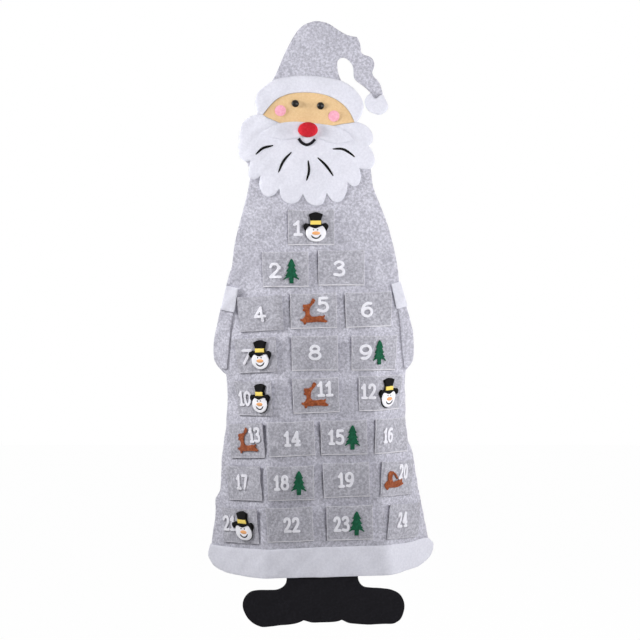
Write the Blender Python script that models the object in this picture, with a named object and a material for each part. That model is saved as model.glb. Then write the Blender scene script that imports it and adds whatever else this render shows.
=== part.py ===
"""Fabric advent calendar: a die-cut felt Father Christmas with 24 sewn pockets.

The figure is laid out flat and then draped, because its two sides lean back along a
packing crease each. Every piece is cut along the same fold lines, so that all layers
stay parallel where the cloth turns. The front looks along -Y and the top is +Z.
"""

import math
from bisect import bisect_right

import bmesh
import bpy
from mathutils import Vector

mm = 0.001

# The figure's height sets the size of one outline pixel (px). Outlines are in these
# pixels, x to the right and y down, as drawn over a front view of the flat figure.
figure_height = 1000 * mm
crown_px = 21
sole_px = 627
px = figure_height / (sole_px - crown_px)
hang_point_px = (312, 60)

# Felt sheets and the play between layers
backing_thickness = 3 * mm
patch_thickness = 2 * mm
plush_thickness = 4 * mm
boot_thickness = 3 * mm
layer_gap = 0.3 * mm
first_layer = backing_thickness + layer_gap
second_layer = first_layer + patch_thickness + layer_gap
third_layer = second_layer + patch_thickness + layer_gap

# Pouch pockets, sewn on at both sides and below
pocket_width = 76 * mm
pocket_height = 58 * mm
pocket_depth = 7.5 * mm
pocket_felt = 2 * mm
seam_margin = 2 * mm
pocket_front = first_layer + pocket_depth + pocket_felt

# Ornaments on the pockets
snowman_height = 49 * mm
snowman_thickness = 3.5 * mm
tree_height = 40.5 * mm
reindeer_height = 43 * mm
ornament_thickness = 2 * mm

# Details of the face
eye_radius = 5.6 * mm
eye_height = 4.5 * mm
cheek_radius = 9 * mm
cheek_height = 1.6 * mm
nose_width = 34 * mm
nose_depth = 26 * mm
nose_height = 9 * mm
mouth_stroke = 3.8 * mm
mouth_thickness = 1.5 * mm
dome_sides = 20
dome_rows = 4

# The creases: the cloth turns round this radius, to these angles
fold_radius = 22 * mm
left_fold_angle = math.radians(38)
right_fold_angle = math.radians(46)
bend_steps = 5
flap_reach = 120 * mm
flap_steps = 4
ramp_steps = 8
left_crease_px = ((280, 230), (265.5, 575))
left_ramp_px = (230, 400)
right_crease_px = ((365, 268), (388.5, 575))
right_ramp_px = (275, 420)

curve_steps = 2
snap = 0.02 * mm

# Outlines of the flat figure. Each is a ring of runs: a run is a smooth curve through
# its points, and two runs meet at a corner.
hat_left_px = [(257, 116), (258, 104), (264, 92), (272, 81), (278, 69), (283, 57), (290, 43),
               (298, 30), (306, 24), (316, 21)]
hat_top_px = [(316, 21), (327, 23), (338, 30), (347, 35), (357, 37)]
hat_bump_px = [(357, 37), (360, 43.5), (361.2, 52)]
tail_knee_px = [(361.2, 52), (364, 54.8), (368.5, 56.2), (372.4, 58.8), (374.3, 63.5), (373.8, 68),
                (372.2, 73.2)]
tail_outside_px = [(372.2, 73.2), (374, 77), (378, 80.8), (380.8, 86), (382.6, 93), (383.5, 100), (380, 107),
                   (373, 107), (369, 100), (371, 92.9)]
tail_inside_px = [(371, 92.9), (364, 86.6), (357.6, 82), (354, 77.6), (353.5, 71), (352.4, 65), (347.5, 59.2),
                  (342.2, 57.6), (338, 60.5), (337.3, 66), (338.5, 73.8), (342.9, 83.3), (352, 90)]
head_right_px = [(352, 90), (359, 99), (361, 108), (356, 121)]
shoulder_right_px = [(356, 121), (367, 133), (369, 150), (371, 170), (373, 186), (379, 202), (388, 226),
                     (396, 258), (399.5, 282)]
arm_right_px = [(399.5, 282), (407, 306), (415, 330), (418.5, 350), (418.5, 363), (412, 371)]
robe_right_px = [(412, 371), (412, 384), (418.5, 412), (420.6, 430), (422.4, 445), (428.3, 455),
                 (432.8, 475), (437, 495), (441.8, 515), (444.8, 526), (452, 554)]
robe_foot_px = [(452, 554), (438, 565), (388, 567), (328, 568), (268, 570), (210, 571), (193.4, 556)]
robe_left_px = [(193.4, 556), (195.4, 540), (197.5, 526), (198.3, 514), (198.6, 505), (204.4, 496),
                (205.2, 484), (205.4, 474), (206.3, 460), (210.3, 430), (213.8, 396), (216, 376)]
arm_left_px = [(216, 376), (206, 368), (203, 356), (208, 334), (218, 306), (225.5, 282), (231, 266)]
shoulder_left_px = [(231, 266), (234, 246), (239, 226), (243, 210), (248, 190), (250, 170), (243, 155),
                    (243, 136), (257, 116)]
backing_px = [hat_left_px, hat_top_px, hat_bump_px, tail_knee_px, tail_outside_px, tail_inside_px,
              head_right_px, shoulder_right_px, arm_right_px, robe_right_px, robe_foot_px,
              robe_left_px, arm_left_px, shoulder_left_px]

brim_outer_px = [(257.5, 114.5), (255, 104), (258, 93), (266, 85.5), (276, 79.5), (292, 76.5), (310, 76),
                 (329, 78), (343, 82), (353, 88.5), (361, 98), (363.5, 107), (361.5, 115), (357.5, 121.3)]
brim_inner_px = [(354.6, 122.4), (350.5, 114), (345, 106.5), (336.5, 100), (328, 96), (316.7, 93.3),
                 (305.5, 92.5), (294, 93.2), (284.8, 95.4), (276, 100), (268.5, 107.5), (263, 115)]
face_foot_px = [(263, 115), (267, 117.6), (272, 119.8), (280.4, 123.2), (290, 124.2), (310, 125.5),
                (325, 126.2), (334.6, 125.9), (342, 124.5), (349.5, 123.3), (354.6, 122.4)]
beard_drop_px = 0.25
beard_top_px = [(x, y + beard_drop_px) for x, y in reversed(face_foot_px)]
beard_lobes_px = [
    [(263, 115.25), (256.8, 114.9)],
    [(256.8, 114.9), (250.4, 116.6), (244, 121.8), (240.4, 128.5), (238.8, 138), (238.4, 150), (239.8, 157),
     (243, 160.6), (247, 161.8), (250.5, 160.7)],
    [(250.5, 160.7), (249, 168.4), (248.7, 176), (252, 179.4), (256.6, 178.8), (260.5, 176)],
    [(260.5, 176), (259.2, 184), (262, 193), (268, 197), (274.6, 194.8), (279.3, 189)],
    [(279.3, 189), (281, 197.5), (286, 202.6), (292, 204), (298.5, 200.8), (302.9, 193.9)],
    [(302.9, 193.9), (305.8, 200.2), (311, 204.7), (318, 206), (323.5, 202.5), (326.7, 193)],
    [(326.7, 193), (331, 199.5), (337, 202.4), (343, 199), (346.7, 191), (347.4, 182.2)],
    [(347.4, 182.2), (351, 185.5), (355.4, 186.4), (359.5, 183), (360.8, 176), (359.2, 168.5)],
    [(359.2, 168.5), (365, 169.6), (370.5, 169), (374.4, 163.5), (374.2, 157), (371.8, 150.5), (368.4, 146)],
    [(368.4, 146), (371.4, 143.5), (373, 139.5), (372.3, 134), (369, 128.4), (364, 124.7), (357.9, 122)],
    [(357.9, 122), (354.6, 122.65)]]
moustache_px = [[(260.5, 134), (272, 138), (284, 139.8), (297, 137.5)],
                [(297, 137.5), (308, 136.3), (318, 138.3)],
                [(318, 138.3), (330, 143), (342, 143.8), (353, 140)],
                [(353, 140), (346, 132), (334, 126.5), (318, 124)],
                [(318, 124), (308, 123), (298, 122)],
                [(298, 122), (286, 122.5), (273, 126), (260.5, 134)]]
pompom_lobes_px = [[(371, 92.9), (367.5, 95.8), (365.2, 99.5), (364.8, 104.5), (368, 110.5), (374, 114),
                    (380, 115), (385.5, 112), (388.2, 107.5), (386.9, 102.5), (384.7, 98), (382.6, 94)],
                   [(382.6, 94), (380, 95.4), (376.7, 97.9)],
                   [(376.7, 97.9), (373.9, 98.6), (372.2, 95.8), (371, 92.9)]]
mouth_px = [(298.9, 138.9), (301.6, 142.6), (306.3, 145), (311.2, 143.4), (314.9, 139.8)]
eyes_px = {"eye_left": (295.4, 103.9), "eye_right": (320.6, 106.1)}
cheeks_px = {"cheek_left": (280.4, 111), "cheek_right": (333.9, 116.6)}
nose_px = (308, 129.7)

forearms_px = {
    "forearm_left": [[(225.3, 288), (235.5, 290), (230.5, 314), (219, 370.5)], [(219, 370.5), (210.5, 369)],
                     [(210.5, 369), (205, 364), (203.5, 356), (208.5, 334), (218.3, 308), (225.3, 288)]],
    "forearm_right": [[(400.8, 284), (407, 306), (415, 330), (418, 350), (418, 362), (412.5, 369.5)],
                      [(412.5, 369.5), (408.3, 368)], [(408.3, 368), (398, 308), (392.5, 286)],
                      [(392.5, 286), (400.8, 284)]]}
cuffs_px = {"cuff_left": [(225.2, 285.5), (237.7, 288), (231.9, 312.5), (217.8, 309.5)],
            "cuff_right": [(391.2, 284), (400.3, 281.5), (407.8, 306), (396.3, 309)]}
hem_px = [[(192.6, 552.4), (220, 552.4), (242, 551.4), (265, 549.7)], [(265, 549.7), (326, 546.7), (386, 545.4)],
          [(386, 545.4), (420, 546.4), (449, 546.4)],
          [(449, 546.4), (455, 551), (456, 557), (449.8, 565.8), (432, 572.4), (410, 574.4), (386, 575.2)],
          [(386, 575.2), (328, 576.6), (267, 578.4)],
          [(267, 578.4), (240, 579.6), (211, 578), (195.8, 572), (189.8, 563.2), (192.6, 552.4)]]
boots_px = [[(286.5, 571), (358, 571)],
            [(358, 571), (358.5, 580), (364, 586.5), (378, 588), (390, 589.5), (400, 594.5), (404.5, 604),
             (403.5, 613), (400, 620), (394, 623.5)],
            [(394, 623.5), (370, 624.5), (349, 622.8)],
            [(349, 622.8), (341.7, 619.8)], [(341.7, 619.8), (334, 622), (311, 622.5)],
            [(311, 622.5), (303.6, 620.5)],
            [(303.6, 620.5), (296, 623.5), (280, 625.5), (262, 627), (250, 620.5), (243.3, 609), (243.8, 599),
             (251, 591.5), (262, 590), (276, 590), (284, 586), (286.5, 580), (286.5, 571)]]

# Each pocket: the middle of its lower edge, and its tilt in degrees
pocket_places_px = {
    1: (311.4, 245.2, 0.4), 2: (285.4, 287, 0.2), 3: (341.5, 285.5, 0.4),
    4: (260.8, 331, 3), 5: (314, 328.4, 1.4), 6: (369, 327, 2),
    7: (257, 372.8, 3.5), 8: (315, 370.6, 0.7), 9: (374.5, 370.4, 0),
    10: (252.8, 416.4, 2.3), 11: (316.6, 412.9, 2.2), 12: (382, 410.6, 0.9),
    13: (243.8, 459.8, 4.5), 14: (292.3, 456, 2.6), 15: (344.2, 454.6, 1.2), 16: (393.8, 453.9, -0.7),
    17: (240.8, 503, 4), 18: (291.4, 500.2, 1.3), 19: (347, 497, 2), 20: (399.4, 497.2, -2),
    21: (236, 546.4, 3.5), 22: (290.8, 541.4, 2.6), 23: (350.2, 539.6, 1.5), 24: (407.3, 541, -3.5)}

# Each ornament: its middle, and its tilt in degrees
ornament_places_px = {
    "snowman_01": (316, 227.4, 0), "snowman_07": (262.9, 354.9, 1), "snowman_10": (262.4, 398.8, 1),
    "snowman_12": (385.2, 392.6, 0), "snowman_21": (243, 528.2, -12),
    "tree_02": (291.6, 271.2, 0), "tree_09": (377.2, 352.2, 0), "tree_15": (352.4, 436.8, 0),
    "tree_18": (299, 482.1, 0), "tree_23": (356.6, 522.4, 0),
    "reindeer_05": (313.9, 311, 0), "reindeer_11": (315, 394.4, 0), "reindeer_13": (244.4, 441.4, 3),
    "reindeer_20": (392.5, 480.8, 0)}

# Ornament outlines, as shares of the ornament's height from its middle
snowman_share = [(-0.25, 0.43), (0, 0.5), (0.24, 0.43), (0.18, 0.24), (0.2, 0.1), (0.33, 0.14), (0.43, 0.06),
                 (0.4, -0.06), (0.33, -0.16), (0.28, -0.33), (0.17, -0.45), (0, -0.5), (-0.17, -0.45),
                 (-0.29, -0.33), (-0.34, -0.16), (-0.41, -0.06), (-0.44, 0.04), (-0.35, 0.13),
                 (-0.2, 0.1), (-0.18, 0.24)]
tree_side_share = [(0, 0.5), (0.07, 0.42), (0.12, 0.33), (0.085, 0.33), (0.165, 0.2), (0.115, 0.205),
                   (0.21, 0.07), (0.14, 0.08), (0.255, -0.06), (0.165, -0.045), (0.29, -0.19),
                   (0.185, -0.165), (0.32, -0.35), (0.2, -0.275), (0.1, -0.29), (0.09, -0.5)]
reindeer_share = [(-0.03, 0.49), (0.06, 0.41), (0, 0.3), (-0.07, 0.22), (-0.14, 0.12), (-0.16, -0.01),
                  (-0.15, -0.13), (-0.08, -0.21), (0.08, -0.21), (0.26, -0.18), (0.34, -0.2), (0.41, -0.14),
                  (0.42, -0.22), (0.38, -0.27), (0.45, -0.33), (0.53, -0.39), (0.48, -0.44), (0.3, -0.43),
                  (0.1, -0.42), (-0.12, -0.44), (-0.27, -0.44), (-0.33, -0.53), (-0.38, -0.52),
                  (-0.41, -0.42), (-0.52, -0.37), (-0.51, -0.3), (-0.44, -0.31), (-0.38, -0.25),
                  (-0.33, -0.16), (-0.33, -0.03), (-0.42, -0.01), (-0.43, 0.06), (-0.38, 0.1), (-0.43, 0.15),
                  (-0.41, 0.24), (-0.31, 0.25), (-0.22, 0.26), (-0.14, 0.29), (-0.11, 0.37), (-0.07, 0.45)]
low_reindeer_share = [(-0.17, 0.36), (-0.05, 0.33), (0.23, 0.06), (0.15, 0.03), (-0.07, 0.25), (-0.11, 0.15),
                      (-0.11, 0.03), (-0.06, -0.07), (0.14, -0.03), (0.31, 0), (0.46, 0.06), (0.44, -0.08),
                      (0.53, -0.19), (0.37, -0.25), (0.15, -0.29), (-0.1, -0.28), (-0.29, -0.26),
                      (-0.34, -0.36), (-0.47, -0.28), (-0.53, -0.15), (-0.44, -0.04), (-0.34, 0),
                      (-0.33, 0.13), (-0.32, 0.26), (-0.27, 0.33)]

# Colours: linear red, green, blue, and the felt's roughness
colours = {
    "felt_grey": (0.52, 0.51, 0.58), "felt_white": (0.8, 0.8, 0.85), "felt_skin": (0.82, 0.58, 0.33),
    "felt_pink": (0.96, 0.46, 0.58), "felt_red": (0.58, 0.03, 0.04), "felt_black": (0.015, 0.014, 0.017),
    "felt_green": (0.02, 0.15, 0.08), "felt_brown": (0.29, 0.085, 0.037), "bead_black": (0.012, 0.01, 0.01)}
felt_roughness = 0.95
bead_roughness = 0.12


def pattern_point(point_px):
    """Place a point in pixels on the flat cloth: metres right of and above the hanging point."""
    return ((point_px[0] - hang_point_px[0]) * px, (hang_point_px[1] - point_px[1]) * px)


def mix(first, second, share):
    """Blend two lists of numbers."""
    return [a + (b - a) * share for a, b in zip(first, second)]


class Fold:
    """One side of the cloth, which leans back more and more down a straight crease."""

    def __init__(self, side, crease_px, ramp_px, angle):
        self.side = side
        self.upper, self.lower = [pattern_point(end) for end in crease_px]
        self.top, self.full = [pattern_point((0, row))[1] for row in ramp_px]
        self.angle = angle
        half_bend = fold_radius * angle / 2
        self.columns = [half_bend * (2 * i / bend_steps - 1) for i in range(bend_steps + 1)]
        self.columns += [half_bend + flap_reach * (i + 1) / flap_steps for i in range(flap_steps)]
        self.rows = [self.top + (self.full - self.top) * j / ramp_steps for j in range(ramp_steps + 1)]
        self.nodes = [[self.bend(a, angle * j / ramp_steps) for a in self.columns]
                      for j in range(ramp_steps + 1)]

    def crease(self, w):
        """Where the crease crosses height w."""
        share = (w - self.upper[1]) / (self.lower[1] - self.upper[1])
        return self.upper[0] + (self.lower[0] - self.upper[0]) * share

    def reach(self, u, w):
        """How far a point lies outside the crease."""
        return self.side * (u - self.crease(w))

    def bend(self, a, angle):
        """Across, back, and the normal's two parts, for a point a outside the crease."""
        arc = fold_radius * angle
        along = a + arc / 2
        if along <= 0:
            return [a, 0, 0, -1]
        turn = min(along / fold_radius, angle)
        straight = max(0, along - arc)
        across = -arc / 2 + fold_radius * math.sin(turn) + straight * math.cos(turn)
        back = fold_radius * (1 - math.cos(turn)) + straight * math.sin(turn)
        return [across, back, math.sin(turn), -math.cos(turn)]

    def cell(self, a, w):
        """The column and row that hold a point, and its shares across them."""
        i = min(max(bisect_right(self.columns, a) - 1, 0), len(self.columns) - 2)
        down = (self.top - w) / (self.top - self.full) * ramp_steps
        down = min(max(down, 0), ramp_steps)
        j = min(int(down), ramp_steps - 1)
        return i, j, (a - self.columns[i]) / (self.columns[i + 1] - self.columns[i]), down - j

    def place(self, u, w, t):
        """The place in space of a point t in front of the cloth's back, on the facets of the drape."""
        a = self.reach(u, w)
        if a <= self.columns[0]:
            return Vector((u, -t, w))
        i, j, right, down = self.cell(a, w)
        near, far = self.nodes[j][i], self.nodes[j + 1][i + 1]
        if right >= down:
            corner = self.nodes[j][i + 1]
            spot = mix(near, corner, right)
            spot = [s + (f - c) * down for s, f, c in zip(spot, far, corner)]
        else:
            corner = self.nodes[j + 1][i]
            spot = mix(near, corner, down)
            spot = [s + (f - c) * right for s, f, c in zip(spot, far, corner)]
        x = self.crease(w) + self.side * (spot[0] + t * spot[2])
        return Vector((x, spot[1] + t * spot[3], w))

    def slice(self, bm):
        """Cut a flat mesh along the columns, rows and diagonals of the drape."""
        if all(self.reach(v.co.x, v.co.y) <= self.columns[0] or v.co.y >= self.top for v in bm.verts):
            return
        down_crease = Vector((self.lower[0] - self.upper[0], self.lower[1] - self.upper[1], 0))
        across = Vector((down_crease.y, -down_crease.x, 0))
        cut(bm, lambda a, w: True, self, Vector((0, self.top, 0)), Vector((0, 1, 0)))
        for column in self.columns:
            point = Vector((self.upper[0] + self.side * column, self.upper[1], 0))
            cut(bm, lambda a, w: w < self.top, self, point, across)
        for row in self.rows[1:]:
            cut(bm, lambda a, w: a > self.columns[0], self, Vector((0, row, 0)), Vector((0, 1, 0)))
        for j in range(ramp_steps):
            for i in range(len(self.columns) - 1):
                self.cut_diagonal(bm, i, j)

    def cut_diagonal(self, bm, i, j):
        """Cut one cell of the drape from its upper inner to its lower outer corner."""
        start = Vector((self.crease(self.rows[j]) + self.side * self.columns[i], self.rows[j], 0))
        end = Vector((self.crease(self.rows[j + 1]) + self.side * self.columns[i + 1], self.rows[j + 1], 0))
        run = end - start

        def inside(a, w):
            return self.columns[i] < a < self.columns[i + 1] and self.rows[j + 1] < w < self.rows[j]

        cut(bm, inside, self, start, Vector((run.y, -run.x, 0)))


def cut(bm, chosen, fold, point, normal):
    """Cut the faces whose middle is chosen, by its reach past the crease and its height."""
    faces = []
    for face in bm.faces:
        middle = face.calc_center_median()
        if chosen(fold.reach(middle.x, middle.y), middle.y):
            faces.append(face)
    edges = list({edge for face in faces for edge in face.edges})
    verts = list({vert for face in faces for vert in face.verts})
    bmesh.ops.bisect_plane(bm, geom=verts + edges + faces, dist=snap, plane_co=point, plane_no=normal)


left_fold = Fold(-1, left_crease_px, left_ramp_px, left_fold_angle)
right_fold = Fold(1, right_crease_px, right_ramp_px, right_fold_angle)


def drape(u, w, t):
    """Place a point of the flat cloth in space."""
    if right_fold.reach(u, w) > right_fold.columns[0]:
        return right_fold.place(u, w, t)
    return left_fold.place(u, w, t)


def hang_flat(u, w, t):
    """Place a point of a piece that neither crease reaches."""
    return Vector((u, -t, w))


def smooth(run):
    """A curve through a run's points, left open at its last point."""
    if len(run) == 2:
        return [run[0]]
    padded = [run[0]] + list(run) + [run[-1]]
    points = []
    for i in range(1, len(padded) - 2):
        before, start, end, after = padded[i - 1:i + 3]
        for step in range(curve_steps):
            s = step / curve_steps
            points.append([((2 * b + (c - a) * s + (2 * a - 5 * b + 4 * c - d) * s * s
                             + (3 * b - a - 3 * c + d) * s ** 3) / 2)
                           for a, b, c, d in zip(before, start, end, after)])
    return points


def ring(runs):
    """The outline of a ring of runs, on the flat cloth."""
    return [pattern_point(point) for run in runs for point in smooth(run)]


def flat_mesh(outline):
    """A flat face with this outline, in a new mesh."""
    bm = bmesh.new()
    bm.faces.new([bm.verts.new((u, w, 0)) for u, w in outline])
    return bm


def thicken(flat, low, high, place):
    """Close a flat mesh between two heights over the cloth's back, and drape it."""
    flat.normal_update()
    bmesh.ops.triangulate(flat, faces=flat.faces[:])
    solid = bmesh.new()
    backs = {v: solid.verts.new(place(v.co.x, v.co.y, low(v.co.x, v.co.y))) for v in flat.verts}
    fronts = {v: solid.verts.new(place(v.co.x, v.co.y, high(v.co.x, v.co.y))) for v in flat.verts}
    for face in flat.faces:
        solid.faces.new([fronts[v] for v in face.verts])
        solid.faces.new([backs[v] for v in reversed(face.verts)])
    for edge in flat.edges:
        if edge.is_boundary:
            a, b = edge.verts
            solid.faces.new([fronts[a], backs[a], backs[b], fronts[b]])
    flat.free()
    bmesh.ops.recalc_face_normals(solid, faces=solid.faces[:])
    bmesh.ops.triangulate(solid, faces=solid.faces[:])
    return solid


def material(piece, finish):
    """A piece's own felt or bead material."""
    made = bpy.data.materials.new(piece + "_" + finish)
    made.use_nodes = True
    shader = made.node_tree.nodes["Principled BSDF"]
    shader.inputs["Base Color"].default_value = (*colours[finish], 1)
    shader.inputs["Roughness"].default_value = bead_roughness if finish == "bead_black" else felt_roughness
    return made


def add_piece(name, solid, finish):
    """Make an object of a mesh, with its origin at its own middle."""
    corners = [v.co.copy() for v in solid.verts]
    middle = sum(corners, Vector()) / len(corners)
    bmesh.ops.translate(solid, verts=solid.verts[:], vec=-middle)
    mesh = bpy.data.meshes.new(name)
    solid.to_mesh(mesh)
    solid.free()
    mesh.materials.append(material(name, finish))
    piece = bpy.data.objects.new(name, mesh)
    piece.location = middle
    bpy.context.collection.objects.link(piece)
    return piece


def add_sheet(name, outline, low, thickness, colour, place=drape):
    """A felt piece of even thickness, low above the cloth's back."""
    flat = flat_mesh(outline)
    if place is drape:
        left_fold.slice(flat)
        right_fold.slice(flat)
    solid = thicken(flat, lambda u, w: low, lambda u, w: low + thickness, place)
    return add_piece(name, solid, colour)


def add_dome(name, centre_px, radii, low, height, colour):
    """A domed piece with an oval foot."""
    solid = bmesh.new()
    u, w = pattern_point(centre_px)
    rows = []
    for row in range(dome_rows):
        rise = math.pi / 2 * row / dome_rows
        rows.append([solid.verts.new(hang_flat(
            u + radii[0] * math.cos(rise) * math.cos(2 * math.pi * i / dome_sides),
            w + radii[1] * math.cos(rise) * math.sin(2 * math.pi * i / dome_sides),
            low + height * math.sin(rise))) for i in range(dome_sides)])
    top = solid.verts.new(hang_flat(u, w, low + height))
    solid.faces.new(rows[0])
    for below, above in zip(rows, rows[1:]):
        for i in range(dome_sides):
            solid.faces.new([below[i - 1], below[i], above[i], above[i - 1]])
    for i in range(dome_sides):
        solid.faces.new([rows[-1][i - 1], rows[-1][i], top])
    bmesh.ops.recalc_face_normals(solid, faces=solid.faces[:])
    bmesh.ops.triangulate(solid, faces=solid.faces[:])
    return add_piece(name, solid, colour)


def add_disc(name, centre_px, radius, low, height, colour):
    """A flat round patch."""
    u, w = pattern_point(centre_px)
    turns = [2 * math.pi * i / dome_sides for i in range(dome_sides)]
    outline = [(u + radius * math.cos(turn), w + radius * math.sin(turn)) for turn in turns]
    return add_sheet(name, outline, low, height, colour, hang_flat)


def stroke(points_px, width):
    """The outline of a line of even width with square ends."""
    points = [Vector(pattern_point(point)) for point in smooth(points_px) + [points_px[-1]]]
    left, right = [], []
    for i, point in enumerate(points):
        along = (points[min(i + 1, len(points) - 1)] - points[max(i - 1, 0)]).normalized()
        side = Vector((-along.y, along.x)) * width / 2
        left.append(point + side)
        right.append(point - side)
    return left + right[::-1]


def turned(centre, degrees, x, y):
    """A point x right of and y above a centre, in a frame that is tilted by some degrees."""
    turn = math.radians(degrees)
    return (centre[0] + x * math.cos(turn) - y * math.sin(turn),
            centre[1] + x * math.sin(turn) + y * math.cos(turn))


def make_backing():
    """The figure's back: one sheet with the hat, its tail, the head, both arms and the robe."""
    add_sheet("backing", ring(backing_px), 0, backing_thickness, "felt_grey")


def make_head():
    """The hat's brim and pompom, the face and the beard."""
    brim = [brim_outer_px, [brim_outer_px[-1], brim_inner_px[0]], brim_inner_px,
            [brim_inner_px[-1], brim_outer_px[0]]]
    add_sheet("hat_brim", ring(brim), first_layer, plush_thickness, "felt_white", hang_flat)
    add_sheet("pompom", ring(pompom_lobes_px), first_layer, plush_thickness, "felt_white", hang_flat)
    face = inset(ring([brim_inner_px, face_foot_px]), layer_gap)
    add_sheet("face", face, first_layer, patch_thickness, "felt_skin", hang_flat)
    beard = ring([beard_top_px] + beard_lobes_px)
    add_sheet("beard", beard, first_layer, patch_thickness, "felt_white", hang_flat)
    add_sheet("moustache", ring(moustache_px), second_layer, patch_thickness, "felt_white", hang_flat)


def inset(outline, distance):
    """An outline drawn in by a distance on all sides."""
    points = [Vector(point) for point in outline]
    area = sum(a.x * b.y - b.x * a.y for a, b in zip(points, points[1:] + points[:1]))
    inward = 1 if area > 0 else -1
    drawn_in = []
    for i, point in enumerate(points):
        after = points[(i + 1) % len(points)]
        first = (point - points[i - 1]).normalized()
        second = (after - point).normalized()
        along = (first + second).normalized()
        drawn_in.append(point + Vector((-along.y, along.x)) * inward * distance)
    return drawn_in


def make_face_details():
    """Bead eyes, cheeks, the padded nose and the mouth."""
    for name, centre_px in eyes_px.items():
        add_dome(name, centre_px, (eye_radius, eye_radius), second_layer, eye_height, "bead_black")
    for name, centre_px in cheeks_px.items():
        add_disc(name, centre_px, cheek_radius, second_layer, cheek_height, "felt_pink")
    add_dome("nose", nose_px, (nose_width / 2, nose_depth / 2), third_layer, nose_height, "felt_red")
    add_sheet("mouth", stroke(mouth_px, mouth_stroke), second_layer, mouth_thickness, "felt_black", hang_flat)


def make_arms():
    """Both forearms, and the cuffs sewn over their upper ends."""
    for name, runs in forearms_px.items():
        add_sheet(name, ring(runs), first_layer, patch_thickness, "felt_grey")
    for name, corners in cuffs_px.items():
        outline = [pattern_point(corner) for corner in corners]
        add_sheet(name, outline, second_layer, patch_thickness, "felt_white")


def make_foot():
    """The hem band, and the boots that hang from behind it."""
    add_sheet("hem_band", ring(hem_px), first_layer, patch_thickness, "felt_white")
    add_sheet("boots", ring(boots_px), 0, boot_thickness, "felt_black", hang_flat)


def wall_rise(inset_from_edge, start):
    """How far the pocket has risen, as a share of its depth."""
    return min(max((inset_from_edge - start) / pocket_felt, 0), 1)


def make_pocket(number, place_px):
    """A pouch: flat seam margins, steep walls, and a front that stands off the backing."""
    foot = pattern_point(place_px)
    tilt = place_px[2]
    corners = [(-pocket_width / 2, 0), (pocket_width / 2, 0), (pocket_width / 2, pocket_height),
               (-pocket_width / 2, pocket_height)]
    flat = flat_mesh([turned(foot, tilt, x, y) for x, y in corners])
    middle = Vector((*foot, 0))
    right = (Vector(turned(foot, tilt, pocket_width, 0)).to_3d() - middle).normalized()
    up = Vector((-right.y, right.x, 0))
    for line in (seam_margin, seam_margin + pocket_felt, seam_margin + 2 * pocket_felt):
        for point, normal in ((middle + up * line, up), (middle + right * (pocket_width / 2 - line), right),
                              (middle - right * (pocket_width / 2 - line), right)):
            bmesh.ops.bisect_plane(flat, geom=flat.verts[:] + flat.edges[:] + flat.faces[:],
                                   dist=snap, plane_co=point, plane_no=normal)
    left_fold.slice(flat)
    right_fold.slice(flat)

    def from_edge(u, w):
        offset = Vector((u, w, 0)) - middle
        return min(offset.dot(up), pocket_width / 2 - abs(offset.dot(right)))

    def inner(u, w):
        return first_layer + pocket_depth * wall_rise(from_edge(u, w), seam_margin + pocket_felt)

    def outer(u, w):
        return first_layer + pocket_felt + pocket_depth * wall_rise(from_edge(u, w), seam_margin)

    add_piece("pocket_%02d" % number, thicken(flat, inner, outer, drape), "felt_grey")


def make_ornament(name, place_px):
    """A cut-out shape glued to the front of a pocket."""
    kind = name.split("_")[0]
    mirrored = [(-x, y) for x, y in tree_side_share[:0:-1]]
    shares, height, thickness, colour = {
        "snowman": (snowman_share, snowman_height, snowman_thickness, "felt_black"),
        "tree": (tree_side_share + mirrored, tree_height, ornament_thickness, "felt_green"),
        "reindeer": (reindeer_share, reindeer_height, ornament_thickness, "felt_brown")}[kind]
    if name == "reindeer_20":
        shares = low_reindeer_share
    centre = pattern_point(place_px)
    outline = [turned(centre, place_px[2], x * height, y * height) for x, y in shares]
    add_sheet(name, outline, pocket_front + layer_gap, thickness, colour)


def build():
    """Clear the scene and make every piece."""
    for old in list(bpy.data.objects):
        bpy.data.objects.remove(old)
    make_backing()
    make_head()
    make_face_details()
    make_arms()
    make_foot()
    for number, place_px in pocket_places_px.items():
        make_pocket(number, place_px)
    for name, place_px in ornament_places_px.items():
        make_ornament(name, place_px)


build()
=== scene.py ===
# %% [markdown]
# # A felt advent calendar
#
# The object is a wall hanging cut from felt: a Father Christmas with a pouch pocket for
# each day of advent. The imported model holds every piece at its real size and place. This
# notebook dresses those pieces: it reads each piece's cutting line back from the packed
# model, cuts it again with a fine mesh and soft edges, drapes it, and gives it felt.
#
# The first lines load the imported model, which is the frame that everything sits in.

# %% Load the frame
import math

import bmesh
import bpy
import numpy as np
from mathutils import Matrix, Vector
from mathutils.geometry import delaunay_2d_cdt


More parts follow.
